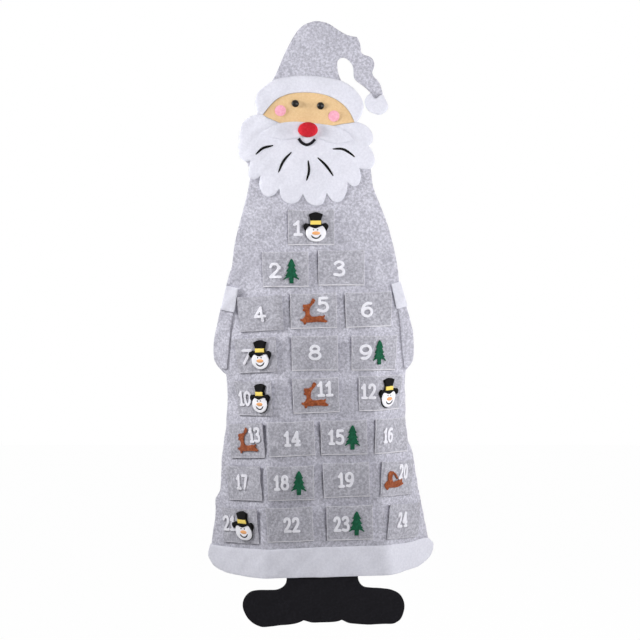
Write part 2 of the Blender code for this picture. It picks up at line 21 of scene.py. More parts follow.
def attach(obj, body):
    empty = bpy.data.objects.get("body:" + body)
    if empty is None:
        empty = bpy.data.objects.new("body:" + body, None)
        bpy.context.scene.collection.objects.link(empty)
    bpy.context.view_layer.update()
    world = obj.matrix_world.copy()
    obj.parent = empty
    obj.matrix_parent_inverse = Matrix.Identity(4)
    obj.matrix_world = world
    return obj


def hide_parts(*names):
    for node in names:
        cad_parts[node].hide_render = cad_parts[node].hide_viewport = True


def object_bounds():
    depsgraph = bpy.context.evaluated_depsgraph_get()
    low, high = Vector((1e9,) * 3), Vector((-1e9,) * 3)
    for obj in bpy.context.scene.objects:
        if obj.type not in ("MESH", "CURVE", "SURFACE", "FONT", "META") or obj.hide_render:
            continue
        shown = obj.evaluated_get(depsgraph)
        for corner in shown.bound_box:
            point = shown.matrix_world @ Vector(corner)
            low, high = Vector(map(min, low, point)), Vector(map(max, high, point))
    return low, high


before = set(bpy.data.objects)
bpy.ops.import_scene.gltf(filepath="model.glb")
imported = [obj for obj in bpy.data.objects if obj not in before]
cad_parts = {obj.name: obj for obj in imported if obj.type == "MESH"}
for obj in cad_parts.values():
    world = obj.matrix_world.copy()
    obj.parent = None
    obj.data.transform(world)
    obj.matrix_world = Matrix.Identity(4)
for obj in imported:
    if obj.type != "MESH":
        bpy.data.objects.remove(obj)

cad_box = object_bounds()
print("pieces in the frame:", len(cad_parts))

# %% [markdown]
# ## Measures
#
# Felt is sold by thickness, and each layer lies on the one below it. The drape is the
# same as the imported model's: the middle of the figure hangs flat, and each side leans
# back along a crease that was pressed into the cloth when it was folded for its box.

# %% Measures of the cloth
MM = 0.001
backing_thickness = 3 * MM
patch_thickness = 2 * MM
plush_thickness = 3.4 * MM
layer_play = 0.3 * MM
first_layer = backing_thickness + layer_play
second_layer = first_layer + patch_thickness + layer_play
third_layer = second_layer + patch_thickness + layer_play

figure_height = 1000 * MM
figure_height_px = 606
px = figure_height / figure_height_px
hang_point_px = (312, 60)

# A crease runs through two points of the pattern, and the turn past it grows from the
# first row of its ramp to the second.
fold_radius = 22 * MM
left_fold = {"side": -1, "angle": math.radians(38),
             "crease_px": ((280, 230), (265.5, 575)), "ramp_px": (230, 400)}
right_fold = {"side": 1, "angle": math.radians(46),
              "crease_px": ((365, 268), (388.5, 575)), "ramp_px": (275, 420)}


def pattern_point(x_px, y_px):
    """A point in photo pixels, as metres right of and above the hanging point."""
    return (x_px - hang_point_px[0]) * px, (hang_point_px[1] - y_px) * px


print("one pixel of the pattern is %.2f mm" % (px / MM))

# %% [markdown]
# ## The drape
#
# A flat pattern becomes a hanging cloth when each of its points is moved to where the
# cloth takes it. One function does this for every layer, from the point's place on the
# flat cloth and its height in front of the cloth's back, so layers never cut each other.
# A cloth simulation could do it too, but the creases are pressed in and stay where they
# are, so a formula gives them exactly. A slow ripple keeps the felt from looking like
# card.

# %% Drape a flat pattern
# Each wave has a height, its counts to a metre across and up, and a start.
ripple_waves = [(1.0 * MM, 5.1, 2.3, 0.4), (0.7 * MM, -9.4, 6.8, 1.9), (0.5 * MM, 17.0, 11.5, 4.1),
                (0.35 * MM, -24.0, 29.0, 2.7), (0.2 * MM, 52.0, -37.0, 5.2)]


def ripple(u, w):
    """The cloth's slow waves, as a height in front of its flat place."""
    return sum(height * np.sin(2 * np.pi * (across * u + up * w) + start)
               for height, across, up, start in ripple_waves)


def crease_at(fold, w):
    """Where a fold's crease crosses height w."""
    upper, lower = [pattern_point(*end) for end in fold["crease_px"]]
    return upper[0] + (lower[0] - upper[0]) * (w - upper[1]) / (lower[1] - upper[1])


def fold_angle_at(fold, w):
    """How far the cloth has turned at height w."""
    top, full = [pattern_point(0, row)[1] for row in fold["ramp_px"]]
    return fold["angle"] * np.clip((w - top) / (full - top), 0, 1)


def bend(fold, u, w, t):
    """Points on one side of the cloth, turned back past its crease."""
    angle = fold_angle_at(fold, w)
    crease = crease_at(fold, w)
    reach = fold["side"] * (u - crease)
    arc = fold_radius * angle
    along = reach + arc / 2
    turn = np.clip(along / fold_radius, 0, angle)
    straight = np.maximum(0, along - arc)
    bent = -arc / 2 + fold_radius * np.sin(turn) + straight * np.cos(turn)
    across = np.where(along > 0, bent, reach) + t * np.sin(turn)
    back = fold_radius * (1 - np.cos(turn)) + straight * np.sin(turn) - t * np.cos(turn)
    return np.stack([crease + fold["side"] * across, back, w], axis=-1)


def as_arrays(*values):
    """Numbers and arrays as arrays of one shape."""
    return np.broadcast_arrays(*[np.asarray(value, float) for value in values])


def drape(u, w, t):
    """Points of the flat cloth, t in front of its back, in space."""
    u, w, t = as_arrays(u, w, t)
    t = t + ripple(u, w)
    middle = (crease_at(left_fold, w) + crease_at(right_fold, w)) / 2
    return np.where((u > middle)[..., None], bend(right_fold, u, w, t), bend(left_fold, u, w, t))


def drape_from(middle, height):
    """A drape for what lies that high over the cloth and keeps its width over a crease."""
    longer = 1 + height / fold_radius

    def place(u, w, t):
        for fold in (left_fold, right_fold):
            side, crease = fold["side"], crease_at(fold, w)
            arc = fold_radius * fold_angle_at(fold, w)
            reach = side * (middle - crease) + arc / 2
            start = np.maximum(reach, 0)
            start = np.where(start < arc, start * longer, start + arc * (longer - 1))
            run = side * (u - middle) + np.minimum(reach, 0) + start
            along = np.where(run < arc * longer, run / longer, run - arc * (longer - 1))
            u = np.where(run > 0, crease + side * (along - arc / 2), u)
        return drape(u, w, t)
    return place


def flatten(points):
    """The places of points on the flat cloth, and their heights in front of its back."""
    x, back, w = points.T
    flat, height = x, -back
    for fold in (left_fold, right_fold):
        angle, crease = fold_angle_at(fold, w), crease_at(fold, w)
        across = fold["side"] * (x - crease) + fold_radius * angle / 2
        inward = fold_radius - back
        turn = np.clip(np.arctan2(across, inward), 0, angle)
        straight = np.where(turn < angle, 0, across * np.cos(angle) - inward * np.sin(angle))
        bent = crease + fold["side"] * (fold_radius * (turn - angle / 2) + straight)
        flat = np.where(across > 0, bent, flat)
        over_fold = across * np.sin(turn) + inward * np.cos(turn) - fold_radius
        height = np.where(across > 0, over_fold, height)
    return np.stack([flat, w], axis=-1), height


print("the hem's left end hangs at", np.round(drape(*pattern_point(190, 565), 0), 3))

# %% [markdown]
# ## Reading the cutting lines
#
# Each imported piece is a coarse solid. Laid flat, its front is the patch of faces that lie
# highest over the cloth, and the border of that patch is the line that the scissors or
# the die followed. Its corners are kept, and a smooth curve is drawn through the rest.

# %% Read a piece's cutting line
corner_turn = math.radians(40)
line_step = 2 * MM
fine_step = 0.8 * MM
front_play = 0.9 * MM
straight_play = 0.12 * MM
weld_gap = 0.01 * MM
no_length = 1e-9


def front_border(node, heights_of=lambda points: flatten(points)[1]):
    """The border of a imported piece's front, as points in space, the same in every run."""
    bm = bmesh.new()
    bm.from_mesh(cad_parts[node].data)
    bmesh.ops.remove_doubles(bm, verts=bm.verts[:], dist=weld_gap)
    heights = heights_of(np.array([vert.co[:] for vert in bm.verts]))
    bm.verts.index_update()
    front = {vert for vert in bm.verts if heights[vert.index] > heights.max() - front_play}
    patch = dict.fromkeys(face for face in bm.faces if front.issuperset(face.verts))
    after = {}
    for face in patch:
        for loop in face.loops:
            if sum(other in patch for other in loop.edge.link_faces) == 1:
                after[loop.vert] = loop.link_loop_next.vert
    border = [next(iter(after))]
    while after[border[-1]] != border[0] and len(border) < len(after):
        border.append(after[border[-1]])
    line = np.array([vert.co[:] for vert in border])
    bm.free()
    return line


def drop_straight_points(line):
    """A closed line without the points that add nothing to its shape."""
    kept = list(line)
    changed = True
    while changed:
        changed = False
        for i in range(len(kept) - 1, -1, -1):
            a, b, c = kept[i - 1], kept[i], kept[(i + 1) % len(kept)]
            run, step = c - a, b - a
            away = abs(run[0] * step[1] - run[1] * step[0]) / max(np.linalg.norm(run), no_length)
            if away < straight_play and len(kept) > 4:
                kept.pop(i)
                changed = True
    return np.array(kept)


def unit(vectors):
    """Vectors made one long."""
    return vectors / np.maximum(np.linalg.norm(vectors, axis=-1, keepdims=True), no_length)


def curve_between(before, start, end, after, step):
    """Points on a smooth curve from start up to end, which follows its neighbours."""
    length = np.linalg.norm(end - start)
    count = max(1, int(round(length / step)))
    s = (np.arange(count) / count)[:, None]
    leave = unit(unit(start - before) + unit(end - start)) * length
    arrive = unit(unit(end - start) + unit(after - end)) * length
    return ((2 * s ** 3 - 3 * s ** 2 + 1) * start + (s ** 3 - 2 * s ** 2 + s) * leave
            + (3 * s ** 2 - 2 * s ** 3) * end + (s ** 3 - s ** 2) * arrive)


def smooth_line(line, step=line_step):
    """A closed line, with its corners kept and its other stretches drawn smooth."""
    count = len(line)
    runs = np.roll(line, -1, axis=0) - line
    headings = np.arctan2(runs[:, 1], runs[:, 0])
    turns = (headings - np.roll(headings, 1) + np.pi) % (2 * np.pi) - np.pi
    sharp = np.abs(turns) > corner_turn
    points = []
    for i in range(count):
        start, end = line[i], line[(i + 1) % count]
        before = start - (end - start) if sharp[i] else line[i - 1]
        after = end + (end - start) if sharp[(i + 1) % count] else line[(i + 2) % count]
        points.append(curve_between(before, start, end, after, step))
    return np.concatenate(points)


def cutting_line(node, step=line_step):
    """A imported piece's outline on the flat cloth, ready to cut again."""
    return smooth_line(drop_straight_points(flatten(front_border(node))[0]), step)


print("the hem's cutting line has", len(cutting_line("hem_band")), "points")

# %% [markdown]
# ## Cutting felt
#
# Felt is a sheet with a soft, slightly rounded cut edge. The mesh is made in the flat:
# the outline, two lines just inside it that carry the rounding, and a lattice of points
# in between are joined into even triangles. Then the sheet gets its two faces and its
# edge, and is draped. An extruded outline would be quicker to make, but its long thin
# triangles couldn't follow the ripples.

# %% Cut a sheet of felt
ring_shares = (0.3, 1)
lattice_gap_share = 0.45
back_rounding_share = 0.6
crown_reach = 4
far_away = 1e9
no_area = 1e-18
join_gap_mm = 1e-4


def quarter_turn(vectors):
    """Vectors turned a quarter to the left."""
    return np.stack([-vectors[:, 1], vectors[:, 0]], axis=-1)


def signed_area(line):
    """The area inside a closed line, less than zero where the line runs clockwise."""
    x, y = line.T
    return np.sum(x * np.roll(y, -1) - np.roll(x, -1) * y) / 2


def line_normals(line):
    """Unit normals of a closed line, towards its inside."""
    ahead = np.roll(line, -1, axis=0) - line
    behind = line - np.roll(line, 1, axis=0)
    return quarter_turn(unit(unit(ahead) + unit(behind))) * np.sign(signed_area(line))


def edge_distance(points, line):
    """How far each point lies inside a closed line; less than zero means outside."""
    start, end = line, np.roll(line, -1, axis=0)
    run = end - start
    inside = np.zeros(len(points), bool)
    nearest = np.full(len(points), far_away)
    for (ax, ay), (bx, by), (rx, ry) in zip(start, end, run):
        x, y = points[:, 0] - ax, points[:, 1] - ay
        share = np.clip((x * rx + y * ry) / max(rx * rx + ry * ry, no_area), 0, 1)
        nearest = np.minimum(nearest, np.hypot(x - share * rx, y - share * ry))
        crosses = (ay > points[:, 1]) != (by > points[:, 1])
        if crosses.any():
            at = ax + (points[:, 1] - ay) / (ry if ry else no_area) * rx
            inside ^= crosses & (points[:, 0] < at)
    return np.where(inside, nearest, -nearest)


def lattice(line, spacing):
    """Points of a triangular lattice that lie well inside a closed line."""
    low, high = line.min(axis=0), line.max(axis=0)
    rows = np.arange(low[1], high[1], spacing * math.sqrt(3) / 2)
    points = [(u + (j % 2) * spacing / 2, w) for j, w in enumerate(rows)
              for u in np.arange(low[0], high[0], spacing)]
    return np.array(points) if points else np.zeros((0, 2))


def triangulate(line, rings, spacing):
    """Even triangles that fill a closed line, with the rings as lines of the mesh."""
    inner = lattice(line, spacing)
    if len(inner):
        gaps = edge_distance(inner, rings[-1] if rings else line)
        inner = inner[gaps > spacing * lattice_gap_share]
    points = np.concatenate([line] + rings + [inner]) / MM
    edges = []
    first = 0
    for ring in [line] + rings:
        edges += [(first + i, first + (i + 1) % len(ring)) for i in range(len(ring))]
        first += len(ring)
    cut = delaunay_2d_cdt([Vector(point) for point in points], edges, [], 0, join_gap_mm)
    flat = np.array([vert[:] for vert in cut[0]]) * MM
    faces = np.array([face[:] for face in cut[2]])
    return flat, faces[edge_distance(flat[faces].mean(axis=1), line) > 0]


def new_piece(name, points, faces, outward=False):
    """A smooth object in the scene, with its faces turned outward if that is asked for."""
    mesh = bpy.data.meshes.new(name)
    mesh.from_pydata(points, [], faces)
    if outward:
        bm = bmesh.new()
        bm.from_mesh(mesh)
        bmesh.ops.recalc_face_normals(bm, faces=bm.faces[:])
        bm.to_mesh(mesh)
        bm.free()
    mesh.shade_smooth()
    piece = bpy.data.objects.new(name, mesh)
    bpy.context.collection.objects.link(piece)
    return piece


def close_sheet(name, flat, faces, low, high, place):
    """A closed mesh between two heights over a flat triangle mesh."""
    corners = flat[faces]
    area = np.cross(corners[:, 1] - corners[:, 0], corners[:, 2] - corners[:, 0])
    faces = np.where((area < 0)[:, None], faces[:, ::-1], faces)
    used, faces = np.unique(faces, return_inverse=True)
    faces = faces.reshape(-1, 3)
    flat, low, high = flat[used], low[used], high[used]
    count = len(flat)
    edges = np.concatenate([faces[:, [0, 1]], faces[:, [1, 2]], faces[:, [2, 0]]])
    known = {(a, b) for a, b in edges.tolist()}
    border = [(a, b) for a, b in known if (b, a) not in known]
    walls = [(a + count, a, b, b + count) for a, b in sorted(border)]
    points = np.concatenate([place(*flat.T, high), place(*flat.T, low)])
    fronts = [tuple(face) for face in faces.tolist()]
    backs = [tuple(v + count for v in face[::-1]) for face in fronts]
    return new_piece(name, points.tolist(), fronts + backs + walls)


def as_heights(value, flat):
    """A height, or a height that varies over the cloth, as one number for each point."""
    return value(*flat.T) if callable(value) else np.full(len(flat), float(value))


def rounded_edge(inset, radius):
    """How far a rounded edge has dropped at a distance from the cut."""
    left = radius - np.minimum(inset, radius)
    return radius - np.sqrt(np.maximum(radius ** 2 - left ** 2, 0))


def cut_felt(name, line, low, thickness, spacing, rounding, place=drape, crown=0):
    """A felt piece with soft edges. crown is how much its middle rises over its edge."""
    normals = line_normals(line)
    rings = [line + normals * rounding * share for share in ring_shares]
    flat, faces = triangulate(line, rings, spacing)
    inset = np.clip(edge_distance(flat, line), 0, None)
    droop = rounded_edge(inset, rounding)
    base = as_heights(low, flat)
    rise = crown * (1 - np.exp(-inset / (crown_reach * rounding)))
    return close_sheet(name, flat, faces, base + droop * back_rounding_share,
                       base + thickness - droop + rise, place)


# %% [markdown]
# ## Felt as a material
#
# Needle felt is a mat of short fibres. Grey felt is blended from light and dark fibres,
# so it is mottled at two sizes: soft clouds a few millimetres wide, and single fibres
# that catch the light. One node group makes both, with the same inputs for every colour,
# and gives a height for the bump as well.

# %% Node group for felt
def feed(tree, socket, value):
    """Join a socket to another one, or set its value."""
    if isinstance(value, bpy.types.NodeSocket):
        tree.links.new(value, socket)
    else:
        socket.default_value = value


def add_node(tree, kind, inputs=None, **settings):
    """A shader node with its settings, and its inputs by name or number."""
    node = tree.nodes.new("ShaderNode" + kind)
    for name, value in settings.items():
        setattr(node, name, value)
    for name, value in (inputs or {}).items():
        feed(tree, node.inputs[name], value)
    return node


def math_node(tree, operation, first, second):
    """The result of a Math node on two sockets or numbers."""
    return add_node(tree, "Math", {0: first, 1: second}, operation=operation).outputs[0]


def noise_node(tree, where, scale, detail, roughness=0.6, distortion=0.0):
    """A Noise Texture's factor."""
    inputs = {"Vector": where, "Scale": scale, "Detail": detail, "Roughness": roughness,
              "Distortion": distortion}
    return add_node(tree, "TexNoise", inputs).outputs["Fac"]


def spread_node(tree, value, low, high):
    """Stretch a factor so that low becomes 0 and high becomes 1."""
    inputs = {"Value": value, "From Min": low, "From Max": high}
    return add_node(tree, "MapRange", inputs, interpolation_type="SMOOTHSTEP").outputs["Result"]


def mix_colours(tree, factor, first, second):
    """A mix of two colours."""
    inputs = {"Factor": factor, "A": first, "B": second}
    return add_node(tree, "Mix", inputs, data_type="RGBA").outputs["Result"]


def make_felt_group():
    """Felt's colour, roughness and height, from a dark, a middle and a light fibre."""
    tree = bpy.data.node_groups.new("needle_felt", "ShaderNodeTree")
    for in_out, kind, names in (("INPUT", "Color", ("Dark fibre", "Ground", "Light fibre")),
                                ("INPUT", "Float", ("Cloud size", "Mottle", "Shift")),
                                ("OUTPUT", "Color", ("Color",)),
                                ("OUTPUT", "Float", ("Roughness", "Height"))):
        for name in names:
            tree.interface.new_socket(name, in_out=in_out, socket_type="NodeSocket" + kind)
    given = tree.nodes.new("NodeGroupInput").outputs
    result = tree.nodes.new("NodeGroupOutput").inputs
    place = add_node(tree, "TexCoord").outputs["Object"]
    where = add_node(tree, "VectorMath", {0: place, 1: given["Shift"]}, operation="ADD").outputs[0]
    clouds = noise_node(tree, where, given["Cloud size"], 3, 0.65, 0.4)
    patches = noise_node(tree, where, 42, 3, 0.5)
    fibres = noise_node(tree, where, 1150, 4, 0.75, 1.6)
    hairs = noise_node(tree, where, 620, 5, 0.8, 3.2)
    shade = math_node(tree, "MULTIPLY", spread_node(tree, patches, 0.7, 0.3), 0.22)
    colour = given["Ground"]
    for mask, fibre in ((spread_node(tree, clouds, 0.56, 0.36), "Dark fibre"),
                        (spread_node(tree, clouds, 0.5, 0.68), "Light fibre"),
                        (spread_node(tree, hairs, 0.55, 0.75), "Light fibre"),
                        (shade, "Dark fibre")):
        mask = math_node(tree, "MULTIPLY", mask, given["Mottle"])
        colour = mix_colours(tree, mask, colour, given[fibre])
    feed(tree, result["Color"], colour)
    rough = math_node(tree, "MULTIPLY", fibres, 0.2)
    feed(tree, result["Roughness"], math_node(tree, "ADD", rough, 0.8))
    height = math_node(tree, "ADD", math_node(tree, "MULTIPLY", clouds, 1.4), hairs)
    feed(tree, result["Height"], math_node(tree, "ADD", height, fibres))
    return tree


felt_group = make_felt_group()
# The name of the mesh's mask for the painted highlight on cut edges.
painted_edge_highlight = "painted_edge_highlight"
fibre_relief = 0.35
fibre_depth = 0.6 * MM


def srgb(colour):
    """A colour from a picture's values, 0 to 255, as linear light."""
    shares = [value / 255 for value in colour]
    return (*[s / 12.92 if s <= 0.04045 else ((s + 0.055) / 1.055) ** 2.4 for s in shares], 1)


def new_material(name):
    """A material that is made of nodes."""
    made = bpy.data.materials.new(name)
    made.use_nodes = True
    return made


def set_surface(tree, height, relief, depth, inputs):
    """Give a material's shader its inputs, and a bump of that relief and depth."""
    bump = add_node(tree, "Bump", {"Strength": relief, "Distance": depth, "Height": height})
    inputs["Normal"] = bump.outputs["Normal"]
    for name, value in inputs.items():
        feed(tree, tree.nodes["Principled BSDF"].inputs[name], value)


def felt(name, dark, ground, light, mottle=0.5, clouds=260, shift=0, sheen=0.25, edge=None):
    """A felt in three fibre colours. edge is the colour of a painted highlight on the cut edges that a
    mesh marks.
    """
    made = new_material(name)
    tree = made.node_tree
    inputs = {"Dark fibre": srgb(dark), "Ground": srgb(ground), "Light fibre": srgb(light),
              "Mottle": mottle, "Cloud size": clouds, "Shift": shift}
    given = add_node(tree, "Group", inputs, node_tree=felt_group).outputs
    colour = given["Color"]
    # Painted highlight: where the mesh marks a cut edge, the colour is mixed towards a paler one.
    if edge:
        mask = add_node(tree, "Attribute", attribute_name=painted_edge_highlight).outputs["Fac"]
        colour = mix_colours(tree, mask, colour, srgb(edge))
    set_surface(tree, given["Height"], fibre_relief, fibre_depth,
                {"Base Color": colour, "Roughness": given["Roughness"], "Sheen Weight": sheen,
                 "Sheen Roughness": 0.5, "Specular IOR Level": 0.15})
    return made


grey_felt = felt("felt_grey_backing", (158, 157, 169), (201, 200, 212), (230, 229, 240), 0.7)
sleeve_felt = felt("felt_grey_sleeve", (157, 156, 168), (199, 198, 210), (228, 227, 238), 0.65,
                   shift=3.1)
# The pouch felt is the robe's grey painted darker, a painted shade for the light that falls off over the
# pouches; its cut edges take a painted highlight.
pocket_felt_painted_shade = felt("felt_grey_pocket", (145, 144, 154), (184, 183, 193), (214, 213, 222), 0.7,
                   shift=7.7, edge=(232, 230, 236))
white_felt = felt("felt_white", (213, 213, 224), (227, 227, 238), (238, 238, 247), 0.4, shift=1.3)
skin_felt = felt("felt_skin", (224, 187, 138), (235, 200, 152), (242, 212, 168), 0.4, shift=2.2)
pink_felt = felt("felt_pink", (232, 150, 172), (252, 180, 201), (255, 206, 220), shift=4.4)
red_felt = felt("felt_red", (180, 27, 38), (202, 36, 50), (214, 54, 67), 0.4, shift=5.5, sheen=0.08)
black_felt = felt("felt_black", (18, 17, 21), (25, 24, 29), (36, 35, 41), 0.4, shift=6.1,
                  sheen=0.05)
green_felt = felt("felt_green", (10, 62, 41), (17, 90, 62), (36, 116, 84), shift=8.3)
brown_felt = felt("felt_brown", (112, 54, 28), (155, 80, 47), (192, 116, 70), 0.6, shift=9.2)
figure_felt = felt("felt_figure", (228, 227, 236), (238, 237, 245), (247, 247, 252), 0.35,
                   shift=3.3)
print("felts:", len(bpy.data.materials))

# %% [markdown]
# ## Beads, thread and moulded rubber
#
# The eyes are glossy beads, so their material has a low roughness and hardly any relief.
# The snowmen are soft moulded rubber, which is matt but for a faint skin. The thread is
# cotton, a little lighter than the felt that it holds and mottled much more finely.

# %% Materials of the small parts
skin_depth = 0.2 * MM
smear_share = 0.92


def moulded(name, colour, roughness=0.55, relief=0.05, shine=0.3):
    """A smooth moulded material with a faint orange-peel skin."""
    made = new_material(name)
    tree = made.node_tree
    where = add_node(tree, "TexCoord").outputs["Object"]
    smears = noise_node(tree, where, 150, 2)
    clean = srgb(colour)
    smeared = (*[value * smear_share for value in clean[:3]], 1)
    rough = math_node(tree, "ADD", math_node(tree, "MULTIPLY", smears, 0.15), roughness)
    set_surface(tree, noise_node(tree, where, 900, 2), relief, skin_depth,
                {"Base Color": mix_colours(tree, smears, smeared, clean), "Roughness": rough,
                 "Specular IOR Level": shine})
    return made


eye_bead = moulded("bead_black", (11, 9, 8), 0.2, 0.02, 0.25)
hat_rubber = moulded("rubber_black", (8, 7, 8), 0.6, shine=0.12)
band_rubber = moulded("rubber_yellow", (250, 222, 112))
snow_rubber = moulded("rubber_white", (248, 247, 253))
carrot_rubber = moulded("rubber_orange", (244, 176, 116))
grey_thread = felt("thread_grey", (150, 149, 160), (196, 195, 206), (226, 226, 236), 0.6, 900)
print("materials:", len(bpy.data.materials))

# %% [markdown]
# ## Dressing the frame
#
# Every imported piece is soft, so each one is hidden and a dressed piece stands for it.
# One helper gives a piece its material, hides the imported piece that it replaces, and
# lets it ride on the calendar's only body.

# %% Dress a piece
made_pieces = []


def dress(piece, material, node=None):
    """Give a piece its material and its place in the frame."""
    piece.data.materials.append(material)
    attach(piece, "root")
    if node:
        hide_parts(node)
    made_pieces.append(piece.name)
    return piece


def declare_sheet(line):
    """The size in mm of the sheet that a felt piece was cut to, from its cutting line."""
    size = tuple(float(side) for side in line.max(axis=0) - line.min(axis=0))
    return tuple(side / MM for side in size)


# %% [markdown]
# ## The figure's back
#
# One sheet of thick grey felt carries everything. It is cut as a whole: hat, curled tail,
# head, both arms and the robe. It hangs, and the size of the cloth that it was cut from
# is printed.

# %% The back
backing_line = cutting_line("backing")
backing = cut_felt("felt_back", backing_line, 0, backing_thickness, 6 * MM, 0.7 * MM)
dress(backing, grey_felt, node="backing")
backing_size = declare_sheet(backing_line)
print("the back is cut from %.0f by %.0f mm" % backing_size)

# %% [markdown]
# ## Head, arms and hem
#
# The brim and the pompom are a thicker, fluffier felt, with a rounder edge. The face lies
# in the brim's opening, the beard hangs below it, and the moustache lies over both. The
# forearms are patches on the arms, and a white cuff is sewn over each one's top. All are
# cut by the same function. The boots hang below the creases, so they hang flat.

# %% Patches of felt
# Each patch has its layer, its thickness, its felt, the radius of its edge and its crown.
thin_patch = 1.6 * MM
strip_patch = 1.5 * MM
patches = {
    "hat_brim": (first_layer, plush_thickness, white_felt, 1.4 * MM, 0.5 * MM),
    "pompom": (first_layer, plush_thickness, white_felt, 1.4 * MM, 0.5 * MM),
    "face": (first_layer, patch_thickness, skin_felt, 0.6 * MM, 0),
    "beard": (first_layer, patch_thickness, white_felt, 0.8 * MM, 0.2 * MM),
    "moustache": (second_layer, patch_thickness, white_felt, 0.8 * MM, 0.2 * MM),
    "mouth": (second_layer, strip_patch, black_felt, 0.4 * MM, 0),
    "cheek_left": (second_layer, thin_patch, pink_felt, 0.5 * MM, 0),
    "cheek_right": (second_layer, thin_patch, pink_felt, 0.5 * MM, 0),
    "forearm_left": (first_layer, patch_thickness, sleeve_felt, 0.6 * MM, 0),
    "forearm_right": (first_layer, patch_thickness, sleeve_felt, 0.6 * MM, 0),
    "cuff_left": (second_layer, patch_thickness, white_felt, 0.6 * MM, 0),
    "cuff_right": (second_layer, patch_thickness, white_felt, 0.6 * MM, 0),
    "hem_band": (first_layer, patch_thickness, white_felt, 0.7 * MM, 0),
    "boots": (0, backing_thickness, black_felt, 0.8 * MM, 0)}
small_patches = ("mouth", "cheek_left", "cheek_right")
mouth_growth = 0.45 * MM


def hang_flat(u, w, t):
    """Points of a piece that neither crease reaches, in space."""
    u, w, t = as_arrays(u, w, t)
    return np.stack([u, -(t + ripple(u, w)), w], axis=-1)


for node, (low, thickness, finish, rounding, crown) in patches.items():
    small, hangs = node in small_patches, node == "boots"
    if hangs:
        border = front_border(node, lambda points: -points[:, 1])
        line = smooth_line(drop_straight_points(border[:, [0, 2]]))
    else:
        line = cutting_line(node, 1 * MM if small else line_step)
    if node == "mouth":
        line = line - line_normals(line) * mouth_growth
    patch = cut_felt("felt_" + node, line, low, thickness, 1.5 * MM if small else 4.5 * MM,
                     rounding, hang_flat if hangs else drape, crown)
    dress(patch, finish, node=node)
    if not small:
        size = declare_sheet(line)
        print("%-14s is cut from %.0f by %.0f mm of felt" % (node, *size))

# %% [markdown]
# ## Eyes and nose
#
# The eyes are half beads. The nose is a ball of red felt with some filling: round in
# front, pulled in where it is glued down. Both are rings of points around an oval.

# %% Domes
dome_sides = 40
dome_rings = 14


def dome(name, centre_px, radii, low, height, belly):
    """A domed piece. belly is how far its sides bulge over its foot."""
    u, w = pattern_point(*centre_px)
    rise = np.linspace(0, math.pi / 2, dome_rings, endpoint=False)[:, None]
    around = np.linspace(0, 2 * math.pi, dome_sides, endpoint=False)[None, :]
    wide = np.cos(rise) ** (1 - belly) * (1 - 0.12 * belly * np.cos(rise * 2))
    points = drape(u + radii[0] * wide * np.cos(around), w + radii[1] * wide * np.sin(around),
                   low + height * np.sin(rise))
    verts = points.reshape(-1, 3).tolist() + [drape(u, w, low + height).tolist()]
    faces = [tuple(range(dome_sides))]
    last = (dome_rings - 1) * dome_sides
    for i in range(dome_sides):
        j = (i + 1) % dome_sides
        faces += [(ring + j, ring + i, ring + dome_sides + i, ring + dome_sides + j)
                  for ring in range(0, last, dome_sides)]
        faces.append((last + j, last + i, len(verts) - 1))
    return new_piece(name, verts, faces, outward=True)


eye_places_px = {"eye_left": (295.4, 103.9), "eye_right": (320.6, 106.1)}
eye_radius = 6 * MM
eye_height = 4.4 * MM
nose_place_px = (308, 130.2)
nose_radii = (17.3 * MM, 13.3 * MM)
nose_height = 8.6 * MM
nose_belly = 0.45

for node, place_px in eye_places_px.items():
    eye = dome("bead_" + node, place_px, (eye_radius, eye_radius), second_layer, eye_height, 0)
    dress(eye, eye_bead, node=node)
nose = dome("padded_nose", nose_place_px, nose_radii, third_layer, nose_height, nose_belly)
dress(nose, red_felt, node="nose")
print("domes:", len(eye_places_px) + 1)

# %% [markdown]
# ## Strands of the beard
#
# Five dark lines are drawn on the beard to part its locks. They are laid as thin cords
# that taper to both ends, each along a smooth curve.

# %% Beard strands
def smooth_run(points, step):
    """An open line through points, drawn smooth."""
    points = np.array(points, float)
    if len(points) == 2:
        count = max(1, int(np.linalg.norm(points[1] - points[0]) / step))
        return points[0] + (points[1] - points[0]) * np.linspace(0, 1, count + 1)[:, None]
    before, after = 2 * points[0] - points[1], 2 * points[-1] - points[-2]
    padded = np.concatenate([[before], points, [after]])
    drawn = [curve_between(*padded[i - 1:i + 3], step) for i in range(1, len(padded) - 2)]
    return np.concatenate(drawn + [points[-1:]])


def strip(name, lines, half_width, low, thickness, taper=False, place=drape, sides=6):
    """Rounded strips along lines on the flat cloth, joined in one mesh."""
    verts, faces = [], []
    for line in lines:
        across = quarter_turn(unit(np.gradient(line, axis=0)))
        share = np.linspace(0, 1, len(line))
        if taper:
            width = half_width * np.sqrt(np.sin(math.pi * (0.04 + 0.92 * share)))
        else:
            width = half_width * np.minimum(1, 0.45 + 4 * np.minimum(share, 1 - share))
        first, count = len(verts), len(line)
        for turn in np.linspace(0, math.pi, sides):
            spot = line + across * (width * math.cos(turn))[:, None]
            height = as_heights(low, line) + thickness * math.sin(turn) * (width / half_width)
            verts += place(*spot.T, height).tolist()
        starts = [first + ring * count for ring in range(sides)]
        for below, above in zip(starts, starts[1:] + starts[:1]):
            faces += [(below + i, below + i + 1, above + i + 1, above + i)
                      for i in range(count - 1)]
        faces += [tuple(starts), tuple(start + count - 1 for start in reversed(starts))]
    return new_piece(name, verts, faces, outward=True)


